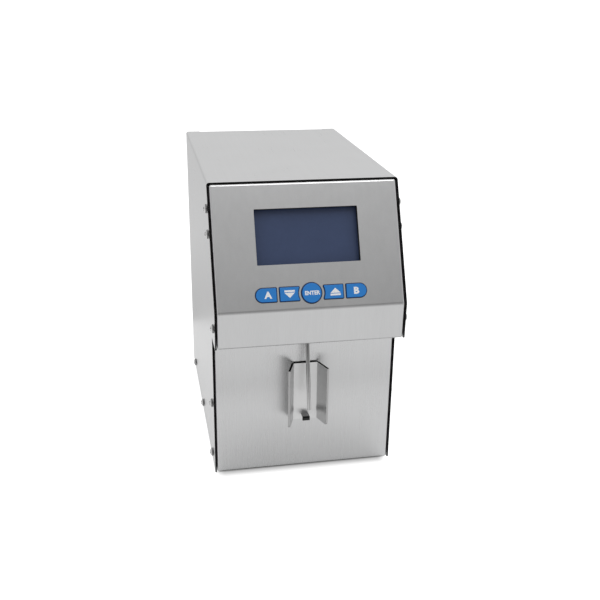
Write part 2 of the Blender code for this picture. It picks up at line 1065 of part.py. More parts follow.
def make_screws():
    for number, (back, height) in enumerate(side_screw_places, 1):
        for side, name in ((-1, "left"), (1, "right")):
            screw = turned(
                f"side_screw_{name}_{number}", screw_profile(), bright_steel
            )
            place = housing_point(side * (half_width + seat), back, height)
            placed(screw, None, place, (0, side * math.radians(90), 0))
    for number, (side, z) in enumerate(rear_screw_places, 1):
        screw = turned(f"rear_screw_{number}", screw_profile(), bright_steel)
        placed(
            screw,
            None,
            (side, rear_face_y + seat, z),
            (math.radians(-90), 0, 0),
        )


def on_rear(place):
    """An empty on the rear panel's outer face, its Z pointing out of it and its Y up."""
    name = f"rear_place_{round(place[0] * 1000)}_{round(place[1] * 1000)}"
    location = housing_point(place[0], rear_panel_face, place[1])
    return empty(name, location, (math.radians(90), 0, math.radians(180)))


def make_rear_panel():
    """A flat plate over the rear, with its vents and the cut-outs of what it carries."""
    height = body_height - 2 * rear_margin
    outline = rounded_rectangle(
        body_width - 2 * rear_margin,
        height,
        rear_corner,
        (0, base_z + rear_margin + height / 2),
    )
    made = plate("rear_panel", outline, 0, sheet, brushed_steel)
    placed(made, None, (0, rear_y + seat + sheet, 0), (math.radians(90), 0, 0))
    cut(made, *rear_holes)
    for number in range(vent_count):
        slot = plate(
            f"vent_cutter_{number + 1}",
            rounded_rectangle(vent_length, vent_width, vent_width / 2 - near),
            -overrun,
            overrun,
        )
        z = top_z - vent_top_drop - number * vent_pitch
        placed(slot, None, (0, rear_y, z), (math.radians(90), 0, 0))
        cut(made, slot)
    for name, place, (width, height) in (
        ("inlet", inlet_place, inlet_body),
        ("switch", switch_place, switch_body),
        ("serial", serial_place, serial_body),
    ):
        opening = box(
            f"{name}_cutter",
            (width + 2 * seat, height + 2 * seat, 2 * overrun),
            (0, 0, 0),
            parent=on_rear(place),
        )
        cut(made, opening)
    for name, place, radius in (
        ("dc", dc_place, dc_body_radius),
        ("outlet", outlet_place, outlet_neck_radius),
    ):
        hole = cylinder(f"{name}_cutter", radius + seat, 2 * overrun, steps=dc_steps)
        cut(made, placed(hole, on_rear(place)))


def make_inner_frame():
    """An upright sheet on the floor that carries the cell and the pump."""
    foot_z = floor_z + seat
    shoulder_z = base_z + frame_shoulder
    head_z = base_z + frame_head
    section = [
        (frame_front_y + frame_foot, foot_z),
        (frame_front_y, foot_z),
        (frame_front_y, head_z),
    ]
    bm = open_profile([(-frame_half_width, y, z) for y, z in section])
    draw_out(bm, list(bm.edges), (2 * frame_half_width, 0, 0))
    corner = edges_where(
        bm, lambda at: at.y < frame_front_y + near and at.z < foot_z + near
    )
    round_edges(bm, corner, frame_bend)
    made = sheet_piece(
        "inner_frame",
        bm,
        (0, frame_front_y + frame_foot, head_z),
        zinc_steel,
        frame_sheet,
    )
    shoulder_width = frame_half_width - frame_head_half_width + overrun
    shoulder_height = head_z - shoulder_z + overrun
    for side in (-1, 1):
        notch = box(
            f"shoulder_cutter_{'left' if side < 0 else 'right'}",
            (shoulder_width, 2 * overrun, shoulder_height),
            (
                side * (frame_head_half_width + shoulder_width / 2),
                frame_front_y,
                shoulder_z + shoulder_height / 2,
            ),
        )
        cut(made, notch)
    shaft_hole = cylinder(
        "frame_shaft_hole", rotor_hub_radius + 2 * shaft_gap, 2 * overrun
    )
    cut(made, placed(shaft_hole, pump_frame))


pump_frame = empty(
    "pump_frame", (0, frame_front_y, base_z + pump_height), (math.radians(90), 0, 0)
)


def lip_ends(name, outline):
    """Where a key's lip begins and ends along the row, clear of the round key."""
    if name == "key_enter":
        return -enter_lip_width / 2, enter_lip_width / 2
    across = [x for x, _ in outline]
    low = min(across) + key_edge
    high = max(across) - key_edge
    clear = enter_radius + enter_gap
    if low > 0:
        return max(low, clear), high
    return low, min(high, -clear)


def make_keys():
    """Five keys that slide in the slanted face, each with a lip behind it and a stem."""
    back = -sheet - key_hole_gap
    lip_back = back - key_lip_thickness
    for name, outline in key_outlines().items():
        middle = middle_x(outline)
        up = [y for _, y in outline]
        shape = [(x - middle, y) for x, y in outline]
        key = plate(name, shape, lip_back, key_rise, key_blue, key_edge)
        placed(key, panel_frame, (middle, key_row, 0))
        low, high = lip_ends(name, outline)
        lip = box(
            f"{name}_lip",
            (high - low, max(up) - min(up) + 2 * key_lip, key_lip_thickness),
            ((low + high) / 2, key_row, back - key_lip_thickness / 2),
            parent=panel_frame,
        )
        stem = cylinder(
            f"{name}_stem", key_stem_radius, key_stem_length + key_lip_thickness
        )
        stem_middle = lip_back + (key_lip_thickness - key_stem_length) / 2
        placed(stem, panel_frame, (middle, key_row, stem_middle))
        join(key, lip, stem)


def key_middles():
    return [middle_x(outline) for outline in key_outlines().values()]


def make_keypad_board():
    """A board with a push switch under each key, on two pillars behind the panel."""
    switch_top = (
        -sheet - key_hole_gap - key_lip_thickness - key_stem_length - key_travel - seat
    )
    body_top = switch_top - switch_plunger
    board_top = body_top - switch_height
    height = keypad_high - keypad_low
    board = box(
        "keypad_board",
        (2 * keypad_half_width, height, keypad_board),
        (0, keypad_low + height / 2, board_top - keypad_board / 2),
        circuit_green,
        parent=panel_frame,
    )
    for number, middle in enumerate(key_middles(), 1):
        body = box(
            f"push_switch_{number}",
            (switch_side, switch_side, switch_height + keypad_board / 2),
            (middle, key_row, body_top - (switch_height + keypad_board / 2) / 2),
            parent=panel_frame,
        )
        plunger = cylinder(
            f"push_plunger_{number}", switch_plunger_radius, 2 * switch_plunger
        )
        placed(plunger, panel_frame, (middle, key_row, body_top))
        join(board, body, plunger)
    pillar_length = board_top + sheet + seat
    for side in (-1, 1):
        pillar = cylinder(
            f"keypad_pillar_{'left' if side < 0 else 'right'}",
            keypad_pillar_radius,
            abs(pillar_length) + keypad_board / 2,
        )
        placed(
            pillar,
            panel_frame,
            (
                side * (keypad_half_width - keypad_pillar_inset),
                key_row,
                (board_top - keypad_board / 2 - sheet - seat) / 2,
            ),
        )
        join(board, pillar)


def make_display():
    """The window, the rim that sets it back from its cut-out, and the module behind it."""
    middle = window_low + window_height / 2
    outer = (window_width + 2 * window_overlap, window_height + 2 * window_overlap)
    rim = plate(
        "display_rim",
        rounded_rectangle(*outer, window_overlap / 2, points=2),
        seat - window_recess,
        -sheet - seat,
        black_plastic,
    )
    placed(rim, panel_frame, (0, middle, 0))
    opening = plate(
        "rim_opening",
        rounded_rectangle(
            window_width + 2 * window_rim_gap,
            window_height + 2 * window_rim_gap,
            window_corner + window_rim_gap,
            points=2,
        ),
        -window_recess,
        0,
    )
    cut(rim, placed(opening, panel_frame, (0, middle, 0)))
    box(
        "display_window",
        (*outer, window_thickness),
        (0, middle, -window_recess - window_thickness / 2),
        display_glass,
        parent=panel_frame,
    )
    can_top = -window_recess - window_thickness - seat
    board_top = can_top - lcd_can_depth
    module = box(
        "display_module",
        (lcd_width, lcd_height, lcd_board),
        (0, middle, board_top - lcd_board / 2),
        circuit_green,
        parent=panel_frame,
    )
    can = box(
        "display_can",
        (lcd_can_width, lcd_can_height, lcd_can_depth + lcd_board / 2),
        (0, middle, can_top - (lcd_can_depth + lcd_board / 2) / 2),
        parent=panel_frame,
    )
    header = box(
        "display_header",
        (lcd_header_width, lcd_header_height, lcd_header_depth + lcd_board / 2),
        (
            ribbon_side,
            middle - lcd_height / 2 + lcd_header_edge + lcd_header_height / 2,
            board_top - lcd_board / 2 - (lcd_header_depth + lcd_board / 2) / 2,
        ),
        parent=panel_frame,
    )
    join(module, can, header)


def make_sample_holder():
    """A bent plate on the lower front panel, with two wings that spread forwards."""
    plate_y = front_y - seat
    section = [
        (-holder_spread, front_y - holder_reach),
        (-holder_half_width, plate_y),
        (holder_half_width, plate_y),
        (holder_spread, front_y - holder_reach),
    ]
    low = base_z + holder_low
    high = base_z + holder_high
    bm = open_profile([(x, y, low) for x, y in section])
    draw_out(bm, list(bm.edges), (0, 0, high - low))
    corners = [
        vert
        for vert in bm.verts
        if vert.co.z < low + near and vert.co.y < front_y - holder_reach + near
    ]
    bmesh.ops.bevel(
        bm,
        geom=corners,
        offset=holder_corner,
        offset_type="OFFSET",
        segments=bend_segments,
        profile=0.5,
        affect="VERTICES",
    )
    folds = edges_where(
        bm,
        lambda at: at.y > plate_y - near and abs(at.x) > holder_half_width - near,
    )
    round_edges(bm, folds, holder_bend)
    sheet_piece("sample_holder", bm, (0, front_y - body_depth, low), brushed_steel)


def make_cup_rest():
    """A small tongue at the foot of the holder, widening to a turned-down lip."""
    root_y = front_y - 2 * seat - sheet
    tip_y = root_y - rest_reach
    outline = [
        (-rest_half_width, root_y),
        (-rest_tip_half_width, tip_y),
        (rest_tip_half_width, tip_y),
        (rest_half_width, root_y),
    ]
    top = base_z + holder_low + rest_drop
    made = plate("cup_rest", outline, top - rest_thickness, top, black_rubber)
    lip = box(
        "cup_rest_lip",
        (2 * rest_tip_half_width, rest_thickness, rest_lip),
        (0, tip_y + rest_thickness / 2, top - rest_lip / 2),
        edge=rest_thickness / 4,
    )
    join(made, lip)


def make_intake():
    """The steel intake pipe and the bush that holds it in the hood's underside."""
    profile = [
        (pipe_radius, pipe_length),
        (pipe_radius, 0),
        (pipe_bore, 0),
        (pipe_bore, pipe_length),
    ]
    pipe = turned("intake_pipe", profile, bright_steel, pipe_steps, closed=True)
    placed(pipe, None, pipe_point(0), (-pipe_lean, 0, 0))
    sheet_top = sheet + seat
    bush_profile = [
        (0, bush_height),
        (bush_collar_radius, bush_height),
        (bush_collar_radius, sheet_top + bush_flange),
        (bush_flange_radius, sheet_top + bush_flange),
        (bush_flange_radius, sheet_top),
        (bush_collar_radius, sheet_top),
        (bush_collar_radius, 0),
        (0, 0),
    ]
    bush = turned("pipe_bush", bush_profile, black_plastic, bush_steps)
    placed(bush, None, pipe_point_at(hood_z))
    bore = cylinder(
        "bush_bore", pipe_radius + bush_bore_gap, 4 * bush_height, steps=pipe_steps
    )
    placed(bore, None, pipe_point_at(hood_z), (-pipe_lean, 0, 0))
    cut(bush, bore)


def make_measuring_cell():
    """A metal block with an inlet in front, an outlet on top, and a transducer at each side."""
    rear = frame_front_y - seat
    middle_y = rear - cell_depth / 2
    low = base_z + cell_low
    cell = box(
        "measuring_cell",
        (cell_width, cell_depth, cell_height),
        (0, middle_y, low + cell_height / 2),
        aluminium,
        cell_edge,
    )
    sunk = nipple_length / 2
    inlet = cylinder("cell_inlet", nipple_radius, nipple_length + sunk)
    inlet_y = rear - cell_depth - nipple_length / 2 + sunk / 2
    placed(
        inlet,
        None,
        (0, inlet_y, low + cell_inlet_height),
        (math.radians(90), 0, 0),
    )
    outlet = cylinder("cell_outlet", nipple_radius, nipple_length + sunk)
    outlet_z = low + cell_height + nipple_length / 2 - sunk / 2
    placed(outlet, None, (-cell_outlet_inset, middle_y, outlet_z))
    join(cell, inlet, outlet)
    for side, name in ((-1, "left"), (1, "right")):
        profile = [
            (0, transducer_length + transducer_tail),
            (transducer_tail_radius, transducer_length + transducer_tail),
            (transducer_tail_radius, transducer_length),
            (transducer_radius, transducer_length),
            (transducer_radius, 0),
            (0, 0),
        ]
        disc = turned(f"transducer_{name}", profile, bright_steel)
        placed(
            disc,
            None,
            (side * (cell_width / 2 + seat), middle_y, low + cell_height / 2),
            (0, side * math.radians(90), 0),
        )
    return middle_y, low


def make_hoses(cell_middle_y, cell_z):
    """The hose from the pipe to the cell, and the tube from the cell through the pump."""
    front = frame_front_y - seat - cell_depth
    inlet_z = cell_z + cell_inlet_height
    start = pipe_point(pipe_length - hose_overlap)
    run = [start, pipe_point(pipe_length)]
    run += [housing_point(0, back, height) for back, height in intake_hose_run]
    run += [
        Vector((0, front - nipple_length, inlet_z)),
        Vector((0, front - seat, inlet_z)),
    ]
    hose(
        "intake_hose",
        smooth_run(run),
        intake_hose_radius,
        pipe_radius + hose_gap,
        clear_hose,
    )
    top = cell_z + cell_height
    race_y = frame_front_y - seat - pump_plate - race_height / 2
    centre_z = base_z + pump_height
    run = [
        Vector((-cell_outlet_inset, cell_middle_y, top + seat)),
        Vector((-cell_outlet_inset, cell_middle_y, top + nipple_length + seat)),
    ]
    run += [housing_point(*place) for place in tube_from_cell]
    run.append(Vector((-pump_tube_orbit, race_y, centre_z + race_leg)))
    run += [
        Vector((x, race_y, centre_z + z))
        for x, z in arc((0, 0), pump_tube_orbit, 180, 360, race_arc_points // 2)
    ]
    run.append(Vector((pump_tube_orbit, race_y, centre_z + race_leg)))
    run += [housing_point(*place) for place in tube_to_rear]
    side, height = outlet_place
    inner_end = rear_y - outlet_reach
    run += [
        Vector((side, inner_end, base_z + height)),
        Vector((side, rear_y - outlet_flange - seat, base_z + height)),
    ]
    hose(
        "pump_tube",
        smooth_run(run),
        pump_tube_radius,
        nipple_radius + hose_gap,
        clear_hose,
    )


def make_pump():
    """Motor, housing with its U-shaped race, rotor with its shaft, and three rollers."""
    plate_low = seat
    plate_high = seat + pump_plate
    plate_width = 2 * (race_radius + race_wall + pump_plate_margin)
    outline = rounded_rectangle(plate_width, plate_width, pump_plate_corner)
    housing = placed(
        plate("pump_housing", outline, plate_low, plate_high, white_plastic),
        pump_frame,
    )
    outer = race_radius + race_wall
    race = [(outer, race_leg)]
    race += [(race_radius, race_leg)]
    race += arc((0, 0), race_radius, 0, -180, race_arc_points)
    race += [(-race_radius, race_leg), (-outer, race_leg)]
    race += arc((0, 0), outer, 180, 360, race_arc_points)
    wall = plate("race_wall", race, plate_high - pump_plate / 2, plate_high + race_height)
    join(housing, placed(wall, pump_frame))
    hole = cylinder("housing_shaft_hole", rotor_hub_radius + shaft_gap, 4 * pump_plate)
    cut(housing, placed(hole, pump_frame))

    rotor_low = plate_high + rotor_gap
    rotor_high = rotor_low + rotor_plate
    pin_high = rotor_high + roller_length + 2 * roller_pin_gap
    rotor_plate_radius = roller_orbit + rotor_plate_margin
    rotor_profile = [
        (0, pin_high),
        (rotor_hub_radius, pin_high),
        (rotor_hub_radius, rotor_high),
        (rotor_plate_radius, rotor_high),
        (rotor_plate_radius, rotor_low),
        (shaft_radius, rotor_low),
        (shaft_radius, -shaft_reach),
        (0, -shaft_reach),
    ]
    rotor = placed(
        turned("pump_rotor", rotor_profile, bright_steel, motor_steps), pump_frame
    )
    bore = roller_pin_radius + roller_pin_gap
    roller_low = rotor_high + roller_pin_gap
    roller_profile = [
        (roller_radius, roller_low + roller_length),
        (roller_radius, roller_low),
        (bore, roller_low),
        (bore, roller_low + roller_length),
    ]
    for number in range(roller_count):
        angle = math.radians(90) + number * math.tau / roller_count
        place = (roller_orbit * math.cos(angle), roller_orbit * math.sin(angle), 0)
        pin = cylinder(
            f"roller_pin_{number + 1}",
            roller_pin_radius,
            pin_high - rotor_low,
        )
        placed(pin, pump_frame, (place[0], place[1], (pin_high + rotor_low) / 2))
        join(rotor, pin)
        roller = turned(
            f"pump_roller_{number + 1}",
            roller_profile,
            white_plastic,
            roller_steps,
            closed=True,
        )
        placed(roller, pump_frame, place)

    motor_top = -frame_sheet - seat
    gearbox_foot = motor_top - gearbox_length
    motor_foot = gearbox_foot - motor_length
    socket_foot = -shaft_reach - 2 * shaft_gap
    socket = shaft_radius + shaft_gap
    motor_profile = [
        (0, socket_foot),
        (socket, socket_foot),
        (socket, motor_top),
        (gearbox_radius - motor_edge, motor_top),
        (gearbox_radius, motor_top - motor_edge),
        (gearbox_radius, gearbox_foot),
        (motor_radius, gearbox_foot),
        (motor_radius, motor_foot + motor_edge),
        (motor_radius - motor_edge, motor_foot),
        (0, motor_foot),
    ]
    placed(turned("pump_motor", motor_profile, zinc_steel, motor_steps), pump_frame)


def make_power_inlet():
    """A mains inlet: flange, body, socket and its three flat pins."""
    where = on_rear(inlet_place)
    flange_low = seat
    flange_high = seat + inlet_flange_thickness
    flange = plate(
        "power_inlet",
        rounded_rectangle(*inlet_flange, rear_corner),
        flange_low,
        flange_high,
        black_plastic,
        rear_flange_edge,
    )
    placed(flange, where)
    body_depth_here = inlet_depth + flange_high / 2
    body = box(
        "inlet_body_block",
        (*inlet_body, body_depth_here),
        (0, 0, flange_high / 2 - body_depth_here / 2),
        parent=where,
    )
    join(flange, body)
    across = inlet_socket[0] / 2
    up = inlet_socket[1] / 2
    outline = [
        (-across, -up),
        (across, -up),
        (across, up - inlet_chamfer),
        (across - inlet_chamfer, up),
        (inlet_chamfer - across, up),
        (-across, up - inlet_chamfer),
    ]
    socket_floor = flange_high - inlet_socket_depth
    socket = plate("inlet_socket_cutter", outline, socket_floor, flange_high + overrun)
    cut(flange, placed(socket, where))
    pin_places = (
        (-inlet_pin_spread, -inlet_pin_drop),
        (0, inlet_pin_rise),
        (inlet_pin_spread, -inlet_pin_drop),
    )
    for number, (x, y) in enumerate(pin_places, 1):
        sunk = inlet_pin_length / 4
        length = inlet_pin_length + sunk
        pin = box(
            f"inlet_pin_{number}",
            (*inlet_pin, length),
            (x, y, socket_floor - sunk + length / 2),
            parent=where,
        )
        join(flange, pin)


def make_power_switch():
    """A rocker switch: its bezel and body, and the rocker on its pins."""
    where = on_rear(switch_place)
    bezel_high = seat + switch_bezel_thickness
    bezel = plate(
        "power_switch",
        rounded_rectangle(*switch_bezel, rear_corner / 2),
        seat,
        bezel_high,
        black_plastic,
        rear_flange_edge,
    )
    placed(bezel, where)
    depth = switch_depth + bezel_high / 2
    body = box(
        "switch_body_block",
        (*switch_body, depth),
        (0, 0, bezel_high / 2 - depth / 2),
        parent=where,
    )
    join(bezel, body)
    well_depth = switch_well_depth + overrun
    well = box(
        "switch_well_cutter",
        (*switch_well, well_depth),
        (0, 0, bezel_high - switch_well_depth + well_depth / 2),
        parent=where,
    )
    cut(bezel, well)
    pivot = (0, 0, bezel_high - switch_pivot_depth)
    sockets = cylinder(
        "rocker_socket_cutter",
        rocker_pin_radius + rocker_pin_gap,
        rocker_width + 2 * rocker_pin_reach + 2 * rocker_pin_gap,
    )
    placed(sockets, where, pivot, (0, math.radians(90), 0))
    cut(bezel, sockets)

    outline = list(
        arc((0, 0), rocker_radius, 180, 360, rocker_arc_points)
    )
    outline += [
        (rocker_radius, rocker_rise),
        (0, rocker_valley),
        (-rocker_radius, rocker_rise),
    ]
    rocker = plate(
        "switch_rocker", outline, -rocker_width / 2, rocker_width / 2, black_plastic
    )
    upright = Matrix.Rotation(math.radians(90), 4, "Y") @ Matrix.Rotation(
        math.radians(90), 4, "Z"
    )
    rocker.data.transform(upright)
    placed(rocker, where, pivot, (rocker_tilt, 0, 0))
    pins = cylinder(
        "rocker_pins", rocker_pin_radius, rocker_width + 2 * rocker_pin_reach
    )
    placed(pins, where, pivot, (0, math.radians(90), 0))
    join(rocker, pins)


def make_serial_port():
    """A nine-way D-shaped port: flange, shell, body and two threaded posts."""
    where = on_rear(serial_place)
    flange_high = seat + serial_flange_thickness
    port = plate(
        "serial_port",
        rounded_rectangle(*serial_flange, serial_shell_corner),
        seat,
        flange_high,
        bright_steel,
    )
    placed(port, where)
    across = serial_shell[0] / 2
    up = serial_shell[1] / 2
    narrow = across - serial_shell_slope
    outline = [(narrow, -up), (across, up), (-across, up), (-narrow, -up)]
    shell = plate(
        "serial_shell", outline, flange_high / 2, flange_high + serial_shell_length
    )
    body_depth_here = serial_depth + flange_high / 2
    body = box(
        "serial_body_block",
        (*serial_body, body_depth_here),
        (0, 0, flange_high / 2 - body_depth_here / 2),
        parent=where,
    )
    join(port, placed(shell, where), body)
    for side in (-1, 1):
        length = jack_post_length + flange_high / 2
        post = cylinder(
            f"jack_post_{'left' if side < 0 else 'right'}",
            jack_post_radius,
            length,
            steps=jack_post_sides,
        )
        placed(
            post,
            where,
            (side * jack_post_spread, 0, flange_high / 2 + length / 2),
        )
        join(port, post)


def make_dc_socket():
    """A round low-voltage socket with its centre pin."""
    face = seat + dc_flange_thickness
    floor = face - dc_bore_depth
    profile = [
        (0, face - dc_pin_setback),
        (dc_pin_radius, face - dc_pin_setback),
        (dc_pin_radius, floor),
        (dc_bore_radius, floor),
        (dc_bore_radius, face),
        (dc_flange_radius, face),
        (dc_flange_radius, seat),
        (dc_body_radius, seat),
        (dc_body_radius, -dc_depth),
        (0, -dc_depth),
    ]
    placed(turned("dc_socket", profile, black_plastic, dc_steps), on_rear(dc_place))


def make_outlet_nipple():
    """A barbed nipple through the rear panel, flanged on both faces, with a through bore."""
    inner = outlet_reach - outlet_flange
    inner_flange = -sheet - seat
    profile = [
        (outlet_radius, outlet_reach),
        (outlet_radius + outlet_barb, outlet_reach - outlet_flange),
        (outlet_radius, outlet_reach - outlet_flange),
        (outlet_radius, seat + outlet_flange),
        (outlet_flange_radius, seat + outlet_flange),
        (outlet_flange_radius, seat),
        (outlet_neck_radius, seat),
        (outlet_neck_radius, inner_flange - outlet_flange),
        (nipple_radius, inner_flange - outlet_flange),
        (nipple_radius, inner_flange - inner),
        (outlet_bore, inner_flange - inner),
        (outlet_bore, outlet_reach),
    ]
    nipple = turned(
        "outlet_nipple", profile, bright_steel, outlet_steps, closed=True
    )
    placed(nipple, on_rear(outlet_place))


def make_main_board():
    """A board on four posts, with its chip, heat sink and headers."""
    width = board_right - board_left
    depth = board_rear - board_front
    board_z = floor_z + board_rise
    middle = housing_point(
        (board_left + board_right) / 2, (board_front + board_rear) / 2, 0
    )
    board = box(
        "main_board",
        (width, depth, board_thickness),
        (middle.x, middle.y, board_z + board_thickness / 2),
        circuit_green,
    )
    top = board_z + board_thickness / 2
    for number, (side, end) in enumerate(((-1, -1), (1, -1), (-1, 1), (1, 1)), 1):
        length = board_rise - seat + board_thickness / 2
        post = cylinder(f"board_post_{number}", board_post_radius, length)
        placed(
            post,
            None,
            (
                middle.x + side * (width / 2 - board_post_inset),
                middle.y + end * (depth / 2 - board_post_inset),
                floor_z + seat + length / 2,
            ),
        )
        join(board, post)
    blocks = (
        ("chip", (chip_side, chip_side, chip_height), (0, 0)),
        ("heat_sink", (sink_length, sink_width, sink_height), sink_shares),
        ("ribbon_header", (header_length, header_width, header_height), None),
        (
            "side_header",
            (header_width, header_length, header_height),
            side_header_shares,
        ),
    )
    for name, size, shares in blocks:
        if shares is None:
            x = ribbon_side
            y = middle.y - depth / 2 + header_width
        else:
            x = middle.x + shares[0] * width
            y = middle.y + shares[1] * depth
        height = size[2] + board_thickness / 2
        block = box(name, (size[0], size[1], height), (x, y, top + height / 2))
        join(board, block)


def make_power_supply():
    """A closed supply block on the floor, with cooling slots in its top."""
    place = housing_point(supply_side, supply_front + supply_depth / 2, 0)
    low = floor_z + seat
    supply = box(
        "power_supply",
        (supply_width, supply_depth, supply_height),
        (place.x, place.y, low + supply_height / 2),
        zinc_steel,
        supply_edge,
    )
    first = -(supply_slot_count - 1) / 2
    for number in range(supply_slot_count):
        slot = box(
            f"supply_slot_{number + 1}",
            (supply_slot_length, supply_slot_width, 2 * supply_slot_depth),
            (
                place.x,
                place.y + (first + number) * supply_slot_pitch,
                low + supply_height,
            ),
        )
        cut(supply, slot)


def make_display_ribbon():
    """A flat ribbon cable from the display module over the inner frame to the main board."""
    middle = window_low + window_height / 2
    header_up = middle - lcd_height / 2 + lcd_header_edge + lcd_header_height / 2
    module_depth = window_recess + window_thickness + seat + lcd_can_depth + lcd_board
    header_out = -module_depth - lcd_header_depth
    start = panel_frame_point(ribbon_side, header_up, header_out - ribbon_gap)
    board_y = front_y + board_front + header_width
    board_top = floor_z + board_rise + board_thickness + header_height
    run = [start]
    run += [housing_point(ribbon_side, back, height) for back, height in ribbon_run]
    run.append(Vector((ribbon_side, board_y, board_top + ribbon_gap)))
    path = smooth_run(run)
    bm = open_profile([point - Vector((ribbon_width / 2, 0, 0)) for point in path])
    draw_out(bm, list(bm.edges), (ribbon_width, 0, 0))
    sheet_piece(
        "display_ribbon",
        bm,
        housing_point(ribbon_side, 0, 0),
        ribbon_grey,
        ribbon_thickness,
    )


make_outer_cover()
make_control_panel()
make_chassis_tray()
make_rear_panel()
make_inner_frame()
make_feet()
make_screws()
make_keys()
make_keypad_board()
make_display()
make_sample_holder()
make_cup_rest()
make_intake()
make_hoses(*make_measuring_cell())
make_pump()
make_power_inlet()
make_power_switch()
make_serial_port()
make_dc_socket()
make_outlet_nipple()
make_main_board()
make_power_supply()
make_display_ribbon()
bpy.context.view_layer.update()
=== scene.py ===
# %% [markdown]
# # A desktop milk analyzer in bent stainless steel
# The imported CAD model is the frame: it says where every piece sits and how it moves. This lesson
# builds the finish around it. The first cell loads the frame and keeps its parts, whose boxes later
# cells read.

import math

import bmesh
import bpy
from mathutils import Matrix, Vector


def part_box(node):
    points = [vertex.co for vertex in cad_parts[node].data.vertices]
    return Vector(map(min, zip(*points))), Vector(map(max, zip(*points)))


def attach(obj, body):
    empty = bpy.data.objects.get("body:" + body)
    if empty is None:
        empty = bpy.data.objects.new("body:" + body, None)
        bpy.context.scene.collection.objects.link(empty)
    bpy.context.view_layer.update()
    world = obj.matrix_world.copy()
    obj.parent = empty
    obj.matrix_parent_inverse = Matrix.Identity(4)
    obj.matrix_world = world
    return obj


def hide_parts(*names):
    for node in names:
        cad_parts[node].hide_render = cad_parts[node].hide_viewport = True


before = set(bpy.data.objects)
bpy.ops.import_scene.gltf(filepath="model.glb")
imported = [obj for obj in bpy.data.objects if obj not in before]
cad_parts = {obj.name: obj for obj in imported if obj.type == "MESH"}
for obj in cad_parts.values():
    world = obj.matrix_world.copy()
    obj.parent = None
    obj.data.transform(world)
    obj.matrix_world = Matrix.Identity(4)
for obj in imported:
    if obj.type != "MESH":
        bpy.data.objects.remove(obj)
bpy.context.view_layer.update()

# %% [markdown]
# The housing is three folded sheets: a cover over the top and sides, a control panel that hangs
# over the front as a hood, and a tray that is the lower front and the floor. Their main planes are
# read from the boxes of the CAD nodes, and only sizes that a box can't give are written here.

# %% Measure the housing
cover_low, cover_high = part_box("outer_cover")
panel_low, panel_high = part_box("control_panel")
tray_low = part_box("chassis_tray")[0]
half_width = cover_high.x
top_z = cover_high.z
rear_y = cover_high.y
base_z = tray_low.z
front_y = tray_low.y
fold_y = cover_low.y
hood_z = panel_low.z
inner_half = panel_high.x
lip_z = panel_high.z

sheet = 0.0012
seat = 0.0003
cover_bend = 0.002
panel_bend = 0.0014
band_height = 0.0281
band_lean = 0.0011
top_edge_setback = 0.01535
fold_z = hood_z + band_height
top_edge_y = front_y + top_edge_setback
band_foot_y = fold_y + band_lean
slant_angle = math.atan2(top_z - fold_z, top_edge_y - fold_y)
slant = Matrix.Translation((0, fold_y, fold_z)) @ Matrix.Rotation(slant_angle, 4, "X")
print("housing", round(2 * half_width, 4), "wide, slant", round(math.degrees(slant_angle), 1))

# %% [markdown]
# The photograph is taken from the left of the front and from above. The camera's place, turn and
# focal length were found by fitting the housing's corners to their places in the picture, which is
# square. Its lens is a little longer than the eye's view, so the sides close only slightly.

# %% Set up the camera
camera_place = Vector((-0.1210, front_y - 0.5830, base_z + 0.3739))
camera_yaw = math.radians(11.29)
camera_pitch = math.radians(21.26)
camera_roll = 0.014
picture_pixels = 600
focal_pixels = 854.1
sensor = 36.0


def new_object(name, data):
    """An object in the scene for some data."""
    made = bpy.data.objects.new(name, data)
    bpy.context.scene.collection.objects.link(made)
    return made


camera_data = bpy.data.cameras.new("camera")
camera_data.sensor_width = sensor
camera_data.lens = sensor * focal_pixels / picture_pixels
camera = new_object("camera", camera_data)
aim = (
    Matrix.Rotation(-camera_yaw, 4, "Z")
    @ Matrix.Rotation(math.radians(90) - camera_pitch, 4, "X")
    @ Matrix.Rotation(camera_roll, 4, "Z")
)
camera.matrix_world = Matrix.Translation(camera_place) @ aim
bpy.context.scene.camera = camera
print("lens", round(camera_data.lens, 2), "mm")

# %% [markdown]
# The room, the floor and every finish are made of nodes. These helpers make a node, feed its
# inputs and return its output, so that a chain of nodes reads like a sum.

# %% Define the node helpers
def feed(tree, value, socket):
    """Feeds an input from another node's output, or with a plain value."""
    if isinstance(value, bpy.types.NodeSocket):
        tree.links.new(value, socket)
    else:
        socket.default_value = value


def feed_all(tree, node, values):
    """Feeds a node's inputs from a dictionary of their names."""
    for label, value in values.items():
        feed(tree, value, node.inputs[label])


def maths(tree, operation, *values, clamp=False):
    """A Math node whose inputs are outputs or numbers."""
    node = tree.nodes.new("ShaderNodeMath")
    node.operation = operation
    node.use_clamp = clamp
    for socket, value in zip(node.inputs, values):
        feed(tree, value, socket)
    return node.outputs[0]


def mix_colours(tree, factor, first, second):
    node = tree.nodes.new("ShaderNodeMix")
    node.data_type = "RGBA"
    feed_all(tree, node, {"Factor": factor, "A": first, "B": second})
    return node.outputs["Result"]


def ramp_node(tree, factor, stops, interpolation="EASE"):
    """A grey ramp. Its stops are pairs of place and grey."""
    node = tree.nodes.new("ShaderNodeValToRGB")
    node.color_ramp.interpolation = interpolation
    elements = node.color_ramp.elements
    while len(elements) < len(stops):
        elements.new(0.5)
    for element, (place, grey) in zip(elements, stops):
        element.position = place
        element.color = (grey, grey, grey, 1)
    feed(tree, factor, node.inputs["Fac"])
    return node.outputs["Color"]


def mapped(tree, value, low, high, to_low=0.0, to_high=1.0, curve="SMOOTHSTEP"):
    """Maps a value from one range to another. low may be the larger end."""
    node = tree.nodes.new("ShaderNodeMapRange")
    node.interpolation_type = curve
    ends = {"From Min": low, "From Max": high, "To Min": to_low, "To Max": to_high}
    feed_all(tree, node, {"Value": value, **ends})
    return node.outputs["Result"]


